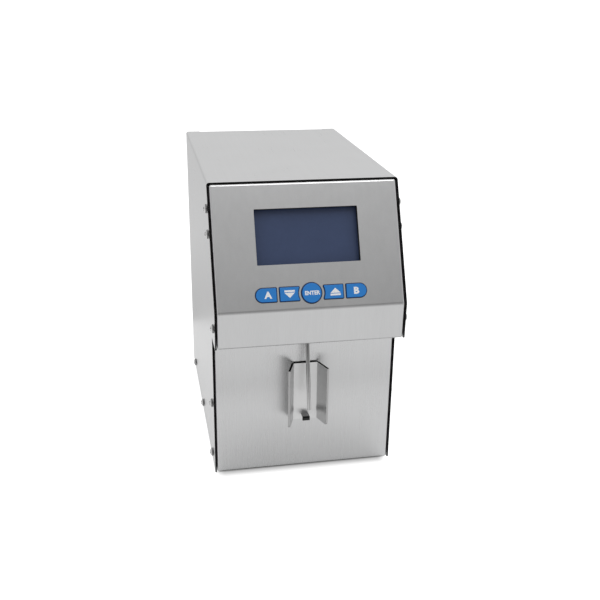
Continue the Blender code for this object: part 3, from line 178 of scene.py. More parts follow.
def separate(tree, space):
    """The outputs X, Y and Z of one of the texture coordinates."""
    where = tree.nodes.new("ShaderNodeTexCoord")
    parts = tree.nodes.new("ShaderNodeSeparateXYZ")
    feed(tree, where.outputs[space], parts.inputs[0])
    return parts.outputs


print("node helpers ready")

# %% [markdown]
# Steel shows its surroundings more than its own colour, so the room is part of the finish. The
# world is bright behind, above and at both sides, and dark straight in front at the height that
# the slanted face mirrors. Cameras see it white. The direction comes from the world's own
# coordinates, where up is Z, so nothing follows the camera.

# %% Light the room
room_white = 1.0
sky_grey = 0.87
front_dark = 0.22
front_width = 0.40
side_gain = 2.0
rear_gain = 1.2
rear_shift = 0.75
front_stops = (
    (0.50, 0.34),
    (0.60, front_dark),
    (0.70, 0.34),
    (0.76, 0.53),
    (0.83, 0.63),
    (0.92, sky_grey),
)
rear_stops = ((0.40, 0.52), (0.54, 0.62), (0.58, 0.76), (0.62, 0.86), (0.72, sky_grey))

world = bpy.data.worlds.new("room")
bpy.context.scene.world = world
world.use_nodes = True
room = world.node_tree
room.nodes.clear()
room_at = separate(room, "Generated")
height = maths(room, "MULTIPLY_ADD", room_at["Z"], 0.5, 0.5)
sideways = maths(room, "ABSOLUTE", room_at["X"])
sideways = maths(room, "SUBTRACT", sideways, front_width)
sideways = maths(room, "MULTIPLY", sideways, side_gain, clamp=True)
off_front = maths(room, "MULTIPLY_ADD", room_at["Y"], rear_gain, rear_shift, clamp=True)
off_front = maths(room, "MAXIMUM", off_front, sideways)
front_grey = ramp_node(room, height, front_stops)
rear_grey = ramp_node(room, height, rear_stops)
walls = mix_colours(room, off_front, front_grey, rear_grey)
rays = room.nodes.new("ShaderNodeLightPath").outputs
white = (room_white, room_white, room_white, 1)
background = room.nodes.new("ShaderNodeBackground")
seen = mix_colours(room, rays["Is Camera Ray"], walls, white)
feed(room, seen, background.inputs["Color"])
world_out = room.nodes.new("ShaderNodeOutputWorld")
feed(room, background.outputs[0], world_out.inputs["Surface"])
bpy.context.scene.view_settings.view_transform = "Standard"
middle = Vector((0, 0, top_z / 2))


def lamp(name, place, size, watts):
    """A square area lamp that looks at the middle of the housing."""
    data = bpy.data.lights.new(name, "AREA")
    data.shape = "SQUARE"
    data.size = size
    data.energy = watts
    turn = (middle - Vector(place)).to_track_quat("-Z", "Y").to_matrix().to_4x4()
    new_object(name, data).matrix_world = Matrix.Translation(place) @ turn


lamp("overhead", (0.25, 0.10, 1.40), 1.2, 3.0)
lamp("front_high", (0.35, -0.75, 1.50), 0.6, 3.0)
print("room and lamps ready")

# %% [markdown]
# The floor shows the steel a glow that only mirror rays see, set by a ramp along Y. Its two dark
# bands, one a little in front of the object and one behind it, are painted reflections: the steel
# shows them as faint lines on the lower panel and on the left side. The ramp falls off under the
# object and close in front of it, which is painted shade in what the steel mirrors. To the camera
# the floor is as white as the room, except in the narrow strip before the tray. There its own light
# is lowered to a painted shadow, and the real shadow shows in it as well. A little further in it
# gives no light at all, a painted shade that keeps the gap under the tray dark.

# %% Lay the floor
floor_size = 24.0
floor_white = 0.42
floor_roughness = 0.9
glow = 0.94
painted_shadow_glow = 0.50
painted_shadow_reach = 0.006
contact_blur = 0.004
under_reach = 0.010
gap_start = 0.0045
gap_end = 0.0085
shade_depth = 0.20
shade_reach = 0.10
ramp_low_y = -1.0
ramp_span = 2.4
# Greys that the floor shows the steel along Y. The dark bands are painted reflections of sheet
# edges.
painted_mirror_floor = (
    (-1.00, 0.20),
    (-0.66, 0.30),
    (-0.59, 0.49),
    (-0.42, 0.52),
    (-0.275, 0.45),
    (-0.262, 0.26),
    (-0.252, 0.26),
    (-0.244, 0.50),
    (0.000, 0.59),
    (0.216, 0.59),
    (0.224, 0.25),
    (0.300, 0.27),
    (0.550, 0.40),
    (0.900, 0.39),
)


def mesh_object(name, bm, *materials):
    """An object whose mesh is a bmesh, which is used up."""
    data = bpy.data.meshes.new(name)
    bm.to_mesh(data)
    bm.free()
    for entry in materials:
        data.materials.append(entry)
    return new_object(name, data)


floor_material = bpy.data.materials.new("floor")
floor_material.use_nodes = True
tree = floor_material.node_tree
shader = tree.nodes["Principled BSDF"]
floor_at = separate(tree, "Object")
floor_y = floor_at["Y"]

across = maths(tree, "ABSOLUTE", floor_at["X"])
within = mapped(tree, across, half_width - seat, half_width - 2 * contact_blur)
before_rear = mapped(tree, floor_y, rear_y + contact_blur, rear_y - contact_blur)
within = maths(tree, "MULTIPLY", within, before_rear)
# Painted shadow: the camera sees a lowered glow in the strip before the tray.
painted_shadow = mapped(tree, floor_y, front_y - painted_shadow_reach, front_y + painted_shadow_reach)
painted_shadow = maths(tree, "MULTIPLY", painted_shadow, within)
# Painted shade in the mirror: under the object the floor shows the steel no glow.
under = mapped(tree, floor_y, front_y - under_reach, front_y - contact_blur)
under = maths(tree, "MULTIPLY", under, within)
shade = mapped(tree, floor_y, front_y - shade_reach, front_y, 0, -shade_depth, "LINEAR")
shade = maths(tree, "MULTIPLY", shade, within)

along = maths(
    tree, "MULTIPLY_ADD", floor_y, 1 / ramp_span, -ramp_low_y / ramp_span, clamp=True
)
floor_stops = [((y - ramp_low_y) / ramp_span, grey) for y, grey in painted_mirror_floor]
# The floor's glow to mirror rays, with its painted reflections and painted shade.
painted_mirror_glow = ramp_node(tree, along, floor_stops, "LINEAR")
painted_mirror_glow = maths(tree, "ADD", painted_mirror_glow, shade)
not_under = maths(tree, "SUBTRACT", 1.0, under)
painted_mirror_glow = maths(tree, "MULTIPLY", painted_mirror_glow, not_under)
# Painted shade: in the gap under the tray the floor gives the camera no light.
before_gap = mapped(tree, floor_y, front_y + gap_end, front_y + gap_start)
outside = maths(tree, "SUBTRACT", 1.0, within)
lit = maths(tree, "MAXIMUM", before_gap, outside)
camera_glow = maths(tree, "MULTIPLY_ADD", painted_shadow, painted_shadow_glow - glow, glow)
camera_glow = maths(tree, "MULTIPLY", camera_glow, lit)
rays = tree.nodes.new("ShaderNodeLightPath").outputs
shiny = maths(tree, "MAXIMUM", rays["Is Glossy Ray"], rays["Is Transmission Ray"])
by_mirror = maths(tree, "MULTIPLY", shiny, painted_mirror_glow)
light = maths(tree, "MULTIPLY_ADD", rays["Is Camera Ray"], camera_glow, by_mirror)
floor_values = {
    "Base Color": (floor_white, floor_white, floor_white, 1),
    "Roughness": floor_roughness,
    "Specular IOR Level": 0.0,
    "Emission Color": (1, 1, 1, 1),
    "Emission Strength": light,
}
feed_all(tree, shader, floor_values)
bm = bmesh.new()
bmesh.ops.create_grid(bm, x_segments=1, y_segments=1, size=floor_size / 2)
floor = mesh_object("floor", bm, floor_material)
print("floor laid")

# %% [markdown]
# Steel sheet is ground with a belt, which leaves fine scratches all one way. The same grain serves
# the sheets, the turned steel and the plated pieces, so it is a node group: it stretches noise
# along the scratches and gives out a colour, a roughness and a height. A second group gives
# moulded plastic and rubber their fine skin. In both, what is taken off the noises centres their
# sum on zero.

# %% Make the shared node groups
def finish_group(name, fineness_kind):
    """A node group with the sockets of every finish. It comes with its inputs."""
    group = bpy.data.node_groups.new(name, "ShaderNodeTree")
    inputs = {"Vector": "Vector", "Fineness": fineness_kind, "Colour": "Color"}
    numbers = dict.fromkeys(("Contrast", "Roughness", "Roughness Range"), "Float")
    for label, kind in {**inputs, **numbers}.items():
        group.interface.new_socket(label, in_out="INPUT", socket_type=f"NodeSocket{kind}")
    for label, kind in {"Colour": "Color", "Roughness": "Float", "Height": "Float"}.items():
        group.interface.new_socket(label, in_out="OUTPUT", socket_type=f"NodeSocket{kind}")
    return group, group.nodes.new("NodeGroupInput").outputs


def noise(tree, vector, scale, detail, roughness=0.55):
    node = tree.nodes.new("ShaderNodeTexNoise")
    settings = {"Scale": scale, "Detail": detail, "Roughness": roughness}
    feed_all(tree, node, {"Vector": vector, **settings})
    return node.outputs["Fac"]


def vector_node(tree, operation, vector, label, value):
    """A Vector Math node: a vector, and what its other input gets."""
    node = tree.nodes.new("ShaderNodeVectorMath")
    node.operation = operation
    feed(tree, vector, node.inputs[0])
    feed(tree, value, node.inputs[label])
    return node.outputs[0]


def give_out(group, given, varying, height):
    """Links the outputs: colour and roughness vary alike, and the height is a pattern."""
    out = group.nodes.new("NodeGroupOutput")
    tone = maths(group, "MULTIPLY_ADD", varying, given["Contrast"], 1.0)
    rough = maths(
        group, "MULTIPLY_ADD", varying, given["Roughness Range"], given["Roughness"]
    )
    colour = vector_node(group, "SCALE", given["Colour"], "Scale", tone)
    feed_all(group, out, {"Colour": colour, "Roughness": rough, "Height": height})


tree, given = finish_group("steel_grain", "Vector")
steel_grain = tree
stretched = vector_node(tree, "MULTIPLY", given["Vector"], 1, given["Fineness"])
scratches = noise(tree, stretched, 1.0, 4.0, 0.7)
bands = noise(tree, stretched, 0.11, 2.0)
clouds = noise(tree, given["Vector"], 22.0, 2.0)
grain = maths(tree, "MULTIPLY_ADD", bands, 0.5, scratches)
grain = maths(tree, "MULTIPLY_ADD", clouds, 0.5, grain)
give_out(tree, given, maths(tree, "SUBTRACT", grain, 1.0), scratches)

tree, given = finish_group("moulded_skin", "Float")
moulded_skin = tree
pores = noise(tree, given["Vector"], given["Fineness"], 2.0, 0.5)
handled = noise(tree, given["Vector"], 60.0, 2.0)
skin = maths(tree, "MULTIPLY_ADD", handled, 1.5, pores)
give_out(tree, given, maths(tree, "SUBTRACT", skin, 1.25), pores)
print("groups:", [group.name for group in bpy.data.node_groups])

# %% [markdown]
# A material is one call: a group with its own values, a bump from its height, and plain values
# set on the shader. Bare metals share the grain, and mouldings the skin.

# %% Define the material helpers
def material(name, group, colour, roughness, spread, contrast, microns, fineness, **on_shader):
    """A material from a group. microns is its relief, and on_shader has the shader's values."""
    made = bpy.data.materials.new(name)
    made.use_nodes = True
    tree = made.node_tree
    where = tree.nodes.new("ShaderNodeTexCoord")
    pattern = tree.nodes.new("ShaderNodeGroup")
    pattern.node_tree = group
    relief = tree.nodes.new("ShaderNodeBump")
    pattern_values = {
        "Vector": where.outputs["Object"],
        "Fineness": fineness,
        "Colour": (*colour, 1.0),
        "Contrast": contrast,
        "Roughness": roughness,
        "Roughness Range": spread,
    }
    feed_all(tree, pattern, pattern_values)
    height = pattern.outputs["Height"]
    feed_all(tree, relief, {"Strength": 1.0, "Distance": microns * 1e-6, "Height": height})
    shader_values = {
        "Base Color": pattern.outputs["Colour"],
        "Roughness": pattern.outputs["Roughness"],
        "Normal": relief.outputs["Normal"],
    }
    for label, value in on_shader.items():
        shader_values[label.replace("_", " ")] = value
    feed_all(tree, tree.nodes["Principled BSDF"], shader_values)
    return made


def metal(name, *values, **on_shader):
    return material(name, steel_grain, *values, Metallic=1.0, **on_shader)


def moulding(name, *values, **on_shader):
    return material(name, moulded_skin, *values, **on_shader)


def plain_grey(value):
    return (value, value, value)


def fade_with_height(made, low_z, high_z, low_tone, high_tone):
    """Multiplies a material's colour by a tone that changes between two heights."""
    tree = made.node_tree
    base = tree.nodes["Principled BSDF"].inputs["Base Color"]
    height = separate(tree, "Object")["Z"]
    tone = mapped(tree, height, low_z, high_z, low_tone, high_tone, "LINEAR")
    feed(tree, vector_node(tree, "SCALE", base.links[0].from_socket, "Scale", tone), base)


print("material helpers ready")

# %% [markdown]
# The sheets differ in which way their scratches run: the cover's from front to rear, and the
# others' up and down. Upright scratches spread a reflection sideways, so the tray and the holder
# are anisotropic, and the thin pipe leaves no mirror image on them. Two finishes are painted with
# height: painted shade darkens the hood's lower bend towards its underside, and the pipe has
# painted light at its foot and painted shade under the hood. The holder's wings are painted darker
# than its middle, as painted shade. Each call gives a colour, a roughness and its range, a
# contrast, a relief and a fineness.

# %% Mix the metals
steel_grey = (0.622, 0.624, 0.627)
scratch_across = 2600.0
scratch_along = 28.0
lengthwise = (scratch_across, scratch_along, scratch_across)
upright = (scratch_across, scratch_across, scratch_along)
even = (900.0, 900.0, 900.0)
underside_shade_tone = 0.40
pipe_lit_z = 0.070
pipe_shade_z = 0.112
pipe_lit_tone = 1.40
pipe_shade_tone = 0.65

cover_steel = metal("cover_steel", steel_grey, 0.30, 0.10, 0.16, 4, lengthwise)
panel_steel = metal("panel_steel", steel_grey, 0.30, 0.08, 0.16, 2, upright)
# Painted shade: the hood's lower bend darkens towards its underside.
fade_with_height(panel_steel, hood_z, hood_z + panel_bend, underside_shade_tone, 1.0)
tray_steel = metal("tray_steel", steel_grey, 0.28, 0.08, 0.12, 2, upright, Anisotropic=0.80)
plate = (0.34, 0.10, 0.12, 4, upright)
# Painted shade: the holder's wings get darker copies of its steel, darkest on their backs, which
# the tray mirrors beside the holder.
holder_steel = metal("holder_steel", plain_grey(0.70), *plate, Anisotropic=0.6)
shaded_wing_steel = metal("shaded_wing_steel", plain_grey(0.58), *plate, Anisotropic=0.6)
shaded_back_steel = metal("shaded_back_steel", plain_grey(0.34), 0.45, 0.10, 0.20, 4, upright)
# Painted shade: a dark steel for the lower rim of each screw head.
shaded_rim_steel = metal("shaded_rim_steel", plain_grey(0.20), 0.40, 0.10, 0.20, 4, even)
ground_edge = metal("ground_edge", plain_grey(0.45), 0.40, 0.10, 0.20, 4, even)
bright_steel = metal("bright_steel", (0.62, 0.62, 0.61), 0.18, 0.10, 0.08, 2, even)
# Painted light and shade: the pipe's grey is paler at its foot and darker under the hood.
pipe_steel = metal("pipe_steel", plain_grey(0.40), 0.18, 0.10, 0.10, 2, upright)
fade_with_height(pipe_steel, pipe_lit_z, pipe_shade_z, pipe_lit_tone, pipe_shade_tone)
screw_steel = metal("screw_steel", plain_grey(0.62), 0.12, 0.10, 0.10, 2, even)
zinc_plate = metal("zinc_plate", (0.50, 0.52, 0.53), 0.42, 0.20, 0.20, 10, even)
aluminium_grey = (0.66, 0.67, 0.68)
aluminium = metal("machined_aluminium", aluminium_grey, 0.34, 0.15, 0.12, 6, lengthwise)
print("metals mixed")

# %% [markdown]
# Plastic, rubber and silicone have the fine skin of a mould, and the keys are a little less glossy
# than the shader's default. A sheet's cut edge is almost black and dull: a dark cut edge and
# painted shade of the gaps beside it. The ribbon's wires and the circuits' tracks are the steel's
# grain again, but coarser.

# %% Mix the plastics and the dark edge
black = (0.018, 0.018, 0.019)
cut_edge_and_shade = material(
    "cut_edge_and_shade", steel_grain, plain_grey(0.004), 0.60, 0.15, 0.5, 10, even, Specular_IOR_Level=0.08
)
key_blue = moulding(
    "key_blue", (0.027, 0.230, 0.660), 0.32, 0.06, 0.05, 3, 3500.0, Specular_IOR_Level=0.35
)
# Painted shade: a darker blue for the keys' steep rims and sides.
key_shade_blue = moulding(
    "key_shade_blue", (0.006, 0.045, 0.170), 0.40, 0.06, 0.05, 3, 3500.0, Specular_IOR_Level=0.25
)
legend_white = moulding("legend_white", plain_grey(0.95), 0.45, 0.05, 0.02, 2, 3500.0)
black_plastic = moulding("black_plastic", black, 0.42, 0.10, 0.30, 10, 2600.0)
black_rubber = moulding("black_rubber", plain_grey(0.022), 0.72, 0.12, 0.30, 20, 1800.0)
# Painted light: the cup rest's tongue is a paler grey than its black lip.
lit_rest_rubber = moulding("lit_rest_rubber", (0.240, 0.241, 0.242), 0.50, 0.12, 0.30, 20, 1800.0)
white_plastic = moulding("white_plastic", (0.76, 0.76, 0.74), 0.45, 0.08, 0.05, 8, 2200.0)
soft_light = {"Subsurface_Weight": 0.3, "Subsurface_Scale": 0.002}
silicone = moulding("silicone", (0.72, 0.75, 0.75), 0.28, 0.08, 0.06, 6, 900.0, **soft_light)
wires = (1600.0, 8.0, 8.0)
tracks = (700.0, 60.0, 700.0)
ribbon_grey = material(
    "ribbon_grey", steel_grain, (0.42, 0.43, 0.45), 0.50, 0.10, 0.60, 20, wires
)
circuit_green = material(
    "circuit_green", steel_grain, (0.015, 0.130, 0.055), 0.38, 0.10, 0.50, 20, tracks
)
print("finishes:", len(bpy.data.materials))

# %% [markdown]
# Small helpers do what every piece needs. The first ones shape a mesh: a chain of vertices, an
# outline, a pull along a vector, a rounded bend, a box with soft edges and a turned profile.

# %% Define the shaping helpers
near = 1e-6
bend_steps = 8
edge_steps = 3
round_steps = 32


def chain(points):
    """A bmesh that holds a line of edges through the points."""
    bm = bmesh.new()
    row = [bm.verts.new(point) for point in points]
    for first, second in zip(row, row[1:]):
        bm.edges.new((first, second))
    return bm


def loop(*outlines):
    """A bmesh that holds a flat face for each outline."""
    bm = bmesh.new()
    for points in outlines:
        bm.faces.new([bm.verts.new((*point, 0)) for point in points])
    return bm


def mirrored(outline):
    """An outline with its left and right changed, in the same sense of turn."""
    return [(-x, y) for x, y in reversed(outline)]


def edges_where(bm, test):
    return [edge for edge in bm.edges if all(test(vert.co) for vert in edge.verts)]


def remove_faces(bm, test):
    """Deletes the faces whose corners all pass a test."""
    faces = [face for face in bm.faces if all(test(vert.co) for vert in face.verts)]
    bmesh.ops.delete(bm, geom=faces, context="FACES")


def shift(bm, vector):
    bmesh.ops.translate(bm, verts=bm.verts, vec=vector)


def shift_new(bm, extruded, vector):
    """Moves the vertices that an extrusion made."""
    moved = [item for item in extruded["geom"] if isinstance(item, bmesh.types.BMVert)]
    bmesh.ops.translate(bm, verts=moved, vec=vector)


def draw_out(bm, edges, vector):
    """Pulls edges into faces along a vector."""
    shift_new(bm, bmesh.ops.extrude_edge_only(bm, edges=edges), vector)


def raise_face(bm, height):
    """Gives a flat outline its thickness, up along Z, and closes it."""
    shift_new(bm, bmesh.ops.extrude_face_region(bm, geom=list(bm.faces)), (0, 0, height))
    bmesh.ops.recalc_face_normals(bm, faces=bm.faces)
    return bm


def round_edges(bm, geom, radius, segments=bend_steps, affect="EDGES"):
    """Rounds edges, or with another affect, vertices."""
    bmesh.ops.bevel(
        bm,
        geom=geom,
        offset=radius,
        offset_type="OFFSET",
        segments=segments,
        profile=0.5,
        affect=affect,
        clamp_overlap=True,
        material=-1,
    )


def arc(centre, radius, start, end, count):
    """Points along an arc, from one angle to another in degrees."""
    points = []
    for step in range(count + 1):
        angle = math.radians(start + (end - start) * step / count)
        x = centre[0] + radius * math.cos(angle)
        points.append((x, centre[1] + radius * math.sin(angle)))
    return points


def circle(radius, count):
    return arc((0, 0), radius, 0, 360, count)[:-1]


def rounded_rectangle(width, height, corner, count):
    """An outline with round corners about the middle."""
    outline = []
    for turn, (side_x, side_y) in enumerate(((1, 1), (-1, 1), (-1, -1), (1, -1))):
        centre = (side_x * (width / 2 - corner), side_y * (height / 2 - corner))
        outline += arc(centre, corner, 90 * turn, 90 * turn + 90, count)
    return outline


def block(size, edge=0.0):
    """A box about the middle, with its edges rounded."""
    bm = bmesh.new()
    bmesh.ops.create_cube(bm, size=1.0)
    bmesh.ops.scale(bm, vec=size, verts=bm.verts)
    if edge:
        round_edges(bm, list(bm.edges), edge, edge_steps)
    return bm


def turned(profile, steps):
    """Spins a profile of (radius, height) points about Z."""
    bm = chain([(radius, 0, height) for radius, height in profile])
    bmesh.ops.spin(
        bm,
        geom=list(bm.verts) + list(bm.edges),
        cent=(0, 0, 0),
        axis=(0, 0, 1),
        angle=math.tau,
        steps=steps,
        use_merge=True,
    )
    bmesh.ops.remove_doubles(bm, verts=bm.verts, dist=near)
    bmesh.ops.recalc_face_normals(bm, faces=bm.faces)
    return bm


def add_bmesh(bm, other, matrix):
    """Adds a second bmesh to the first, moved by a matrix. The second is used up."""
    bmesh.ops.transform(other, matrix=matrix, verts=other.verts)
    carrier = bpy.data.meshes.new("carrier")
    other.to_mesh(carrier)
    other.free()
    bm.from_mesh(carrier)
    bpy.data.meshes.remove(carrier)


print("shaping helpers ready")

# %% [markdown]
# The others finish a piece. They bake its modifiers, give an open sheet its wall and punch its
# holes, and the last step gives a mesh its smooth shading and the body that it rides on. Weighted
# normals keep the flat faces flat beside the small bends.

# %% Define the finishing helpers
smooth_limit = math.radians(40)


def baked(obj):
    """What an object shows, as a mesh: a text's letters, or a mesh with its modifiers."""
    bpy.context.view_layer.update()
    graph = bpy.context.evaluated_depsgraph_get()
    return bpy.data.meshes.new_from_object(obj.evaluated_get(graph))


def apply_modifiers(obj):
    finished = baked(obj)
    obj.modifiers.clear()
    obj.data = finished


def paint(obj, choose):
    """Gives each face of a piece the number of its material."""
    for polygon in obj.data.polygons:
        polygon.material_index = choose(polygon)


def finish_piece(obj, body, slot, *nodes, place=None):
    """Places a piece, shades it smooth with flat faces kept flat, and gives it its body."""
    if place:
        obj.data.transform(place)
    obj.data.shade_smooth()
    obj.data.set_sharp_from_angle(angle=smooth_limit)
    even_faces = obj.modifiers.new("even faces", "WEIGHTED_NORMAL")
    even_faces.keep_sharp = True
    apply_modifiers(obj)
    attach(obj, body)
    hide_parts(*nodes)
    print(obj.name, len(obj.data.polygons), "faces")


def piece(name, bm, body, slot, *nodes, finish, place):
    """A closed bmesh as a finished piece."""
    finish_piece(mesh_object(name, bm, finish), body, slot, *nodes, place=place)


def walled(name, bm, inside, finish, wall=sheet):
    """Gives an open outer face its wall, towards the point inside. Its cut edges are near black,
    with painted shade.
    """
    bmesh.ops.recalc_face_normals(bm, faces=bm.faces)
    largest = max(bm.faces, key=lambda face: face.calc_area())
    if largest.normal.dot(largest.calc_center_median() - Vector(inside)) < 0:
        bmesh.ops.reverse_faces(bm, faces=bm.faces)
    made = mesh_object(name, bm, finish, cut_edge_and_shade)
    thick = made.modifiers.new("wall", "SOLIDIFY")
    thick.thickness = wall
    thick.offset = -1
    thick.material_offset_rim = 1
    apply_modifiers(made)
    return made


def punch(obj, cutter):
    """Cuts a closed shape out of a piece. The new faces keep the cutter's material."""
    step = obj.modifiers.new("punch", "BOOLEAN")
    step.operation = "DIFFERENCE"
    step.solver = "EXACT"
    step.material_mode = "TRANSFER"
    step.object = cutter
    apply_modifiers(obj)
    bpy.data.objects.remove(cutter)


print("finishing helpers ready")

# %% [markdown]
# The cover is one sheet folded over the top and both sides. Its outline in front is the hood's:
# here the sheet is drawn out longer than it should be, bent along the two top edges, and cut by
# the planes of the slanted face and of the band. Its rear edges turn in as lips, with a slot at
# each end of a lip, so that the sheet doesn't tear where a bend stops.

# %% Fold the cover
lip_width = 0.011
lip_clearance = 0.002
tray_flange = 0.016
slot_width = 0.0006
slot_depth = 0.0023
lip_low = base_z + tray_flange + lip_clearance
lip_high = top_z - lip_width - lip_clearance
lip_x = half_width - lip_width - lip_clearance
lead = 0.004

half_section = [
    (lip_x, top_z),
    (lip_x + slot_width, top_z),
    (half_width, top_z),
    (half_width, lip_high + slot_width),
    (half_width, lip_high),
    (half_width, hood_z),
    (half_width, lip_low),
    (half_width, lip_low - slot_width),
    (half_width, base_z),
]
bm = chain([(x, fold_y - lead, z) for x, z in mirrored(half_section) + half_section])
for reach in (front_y, rear_y - slot_depth, rear_y):
    last_y = max(vert.co.y for vert in bm.verts)
    draw_out(bm, edges_where(bm, lambda at: at.y > last_y - near), (0, reach - last_y, 0))
remove_faces(bm, lambda at: at.y < front_y + near and at.z < hood_z + near)
remove_faces(
    bm,
    lambda at: at.y > rear_y - slot_depth - near
    and (
        lip_x - near < abs(at.x) < lip_x + slot_width + near
        or lip_high - near < at.z < lip_high + slot_width + near
        or lip_low - slot_width - near < at.z < lip_low + near
    ),
)


def on_lip(at):
    beside = abs(at.x) > half_width - near and lip_low - near < at.z < lip_high + near
    above = at.z > top_z - near and abs(at.x) < lip_x + near
    return at.y > rear_y - near and (beside or above)


folds = edges_where(bm, on_lip)
for edge in folds:
    edge_x = (edge.verts[0].co.x + edge.verts[1].co.x) / 2
    inward = (0, 0, -lip_width)
    if abs(edge_x) > half_width - near:
        inward = (-math.copysign(lip_width, edge_x), 0, 0)
    draw_out(bm, [edge], inward)
top_bends = edges_where(bm, lambda at: at.z > top_z - near and abs(at.x) > half_width - near)
round_edges(bm, folds, panel_bend)
round_edges(bm, [edge for edge in top_bends if edge.is_valid], cover_bend)
for through, normal in (
    ((0, fold_y, fold_z), (0, -math.sin(slant_angle), math.cos(slant_angle))),
    ((0, fold_y, fold_z), (0, -band_height, -band_lean)),
):
    bmesh.ops.bisect_plane(
        bm,
        geom=list(bm.verts) + list(bm.edges) + list(bm.faces),
        plane_co=through,
        plane_no=normal,
        clear_outer=True,
    )
cover = walled("folded_cover", bm, (0, 0, top_z / 2), cover_steel)
finish_piece(cover, "housing", "brushed", "outer_cover")

# %% [markdown]
# The five keys stand in a row. The outer two are round at one end, and a round one stands between
# two that are hollowed to follow it. Their outlines come before the panel, because its key holes
# are the same outlines, grown by a small gap.

# %% Describe the keys
key_row = 0.0116
key_height = 0.0106
key_row_half = 0.0411
key_split = 0.0245
key_gap = 0.0018
key_hollow_half = 0.00396
enter_radius = 0.00765
enter_gap = 0.0020
key_corner = 0.0007
key_hole_gap = 0.0003
corner_steps = 4


def side_key(grow):
    """An outer key: square beside its neighbour, round at the end of the row."""
    half = key_height / 2 + grow
    inner = key_split + key_gap / 2 - grow
    corner = key_corner + grow
    outline = arc((key_row_half + grow - half, 0), half, -90, 90, count=24)
    outline += arc((inner + corner, half - corner), corner, 90, 180, corner_steps)
    outline += arc((inner + corner, corner - half), corner, 180, 270, corner_steps)
    return outline


def hollow_key(grow):
    """A key beside the round one, hollowed to follow it."""
    half = key_height / 2 + grow
    outer = key_split - key_gap / 2 + grow
    hollow = enter_radius + enter_gap
    inner = math.sqrt(hollow**2 - key_hollow_half**2) - grow
    hollow -= grow
    corner = key_corner + grow
    reach = math.degrees(math.acos(inner / hollow))
    outline = arc((outer - corner, corner - half), corner, -90, 0, corner_steps)
    outline += arc((outer - corner, half - corner), corner, 0, 90, corner_steps)
    outline += arc((inner + corner, half - corner), corner, 90, 180, corner_steps)
    outline += arc((0, 0), hollow, reach, -reach, count=16)
    outline += arc((inner + corner, corner - half), corner, 180, 270, corner_steps)
    return outline


def key_outlines(grow=0.0):
    """The five outlines by node, about the middle of the row."""
    return {
        "key_a": mirrored(side_key(grow)),
        "key_down": mirrored(hollow_key(grow)),
        "key_enter": circle(enter_radius + grow, count=64),
        "key_up": hollow_key(grow),
        "key_b": side_key(grow),
    }


on_row = slant @ Matrix.Translation((0, key_row, 0))
print("keys:", list(key_outlines()))

# %% [markdown]
# The control panel is a shallow pan: the slanted face, the upright band and a flange all round,
# with closed corners. The lower flange runs on under the hood as a tongue. A side view is drawn
# across in three columns, and the outer ones stop where the tongue starts, because a bend has to
# end at a free edge. The side flanges are pulled back from the ends, points that meet are joined,
# and every edge between two faces at an angle is a bend. The display's window, the five key holes
# and the hole for the pipe's bush are punched through afterwards, and their walls are the
# near-black cut edge, with painted shade.

# %% Fold the control panel
panel_flange = 0.016
return_reach = 0.012
window_width = 0.0765
window_height = 0.0407
window_low = 0.0332
window_corner = 0.0006
punch_depth = 0.005
flat_angle = math.radians(5)
bush_hole_radius = 0.0047
bush_hole_out = 0.0060


def drawn_across(points, widths):
    """A side view in (y, z) drawn across in columns, from one side to the other."""
    bm = chain([(-sum(widths) / 2, y, z) for y, z in points])
    for width in widths:
        reached = max(vert.co.x for vert in bm.verts)
        draw_out(bm, edges_where(bm, lambda at: at.x > reached - near), (width, 0, 0))
    return bm


def side_edges(bm, test):
    """The edges along each side of the sheet whose ends pass a test."""
    left = edges_where(bm, lambda at: at.x < near - inner_half and test(at))
    return left + edges_where(bm, lambda at: at.x > inner_half - near and test(at))


def bend_all(bm, radius):
    """Joins the flanges where they meet in a corner, and rounds every edge between two faces."""
    bmesh.ops.remove_doubles(bm, verts=bm.verts, dist=near)
    bmesh.ops.recalc_face_normals(bm, faces=bm.faces)
    bent = [
        edge
        for edge in bm.edges
        if len(edge.link_faces) == 2 and edge.calc_face_angle() > flat_angle
    ]
    round_edges(bm, bent, radius)


head_y = fold_y + (lip_z - fold_z) * (top_edge_y - fold_y) / (top_z - fold_z)
tongue_y = band_foot_y + panel_flange
panel_section = [
    (head_y + panel_flange, lip_z),
    (head_y, lip_z),
    (fold_y, fold_z),
    (band_foot_y, hood_z),
    (tongue_y, hood_z),
    (front_y + return_reach, hood_z),
]
bm = drawn_across(panel_section, (slot_depth, 2 * (inner_half - slot_depth), slot_depth))
column_x = inner_half - slot_depth - near
for side in (-1, 1):
    remove_faces(
        bm, lambda at: side * at.x > column_x and at.y > tongue_y - near and at.z < hood_z + near
    )
face_sides = side_edges(
    bm,
    lambda at: at.y < band_foot_y + near or (at.y < head_y + near and at.z > hood_z + near),
)
draw_out(bm, face_sides, (0, panel_flange, 0))
bend_all(bm, panel_bend)
panel = walled("folded_control_panel", bm, (0, rear_y, fold_z), panel_steel)


def hole_cutter(name, outline, place):
    """A closed prism through the sheet, with near-black walls that are painted shade."""
    bm = raise_face(loop(outline), 2 * punch_depth)
    made = mesh_object(name, bm, cut_edge_and_shade)
    made.data.transform(place @ Matrix.Translation((0, 0, -punch_depth)))
    return made


window_place = slant @ Matrix.Translation((0, window_low + window_height / 2, 0))
window_outline = rounded_rectangle(window_width, window_height, window_corner, count=3)
punch(panel, hole_cutter("window_punch", window_outline, window_place))
for name, outline in key_outlines(key_hole_gap).items():
    punch(panel, hole_cutter(f"{name}_punch", outline, on_row))
bush_outline = circle(bush_hole_radius, round_steps)
bush_place = Matrix.Translation((0, front_y - bush_hole_out, hood_z))
punch(panel, hole_cutter("bush_punch", bush_outline, bush_place))
finish_piece(panel, "housing", "brushed", "control_panel")

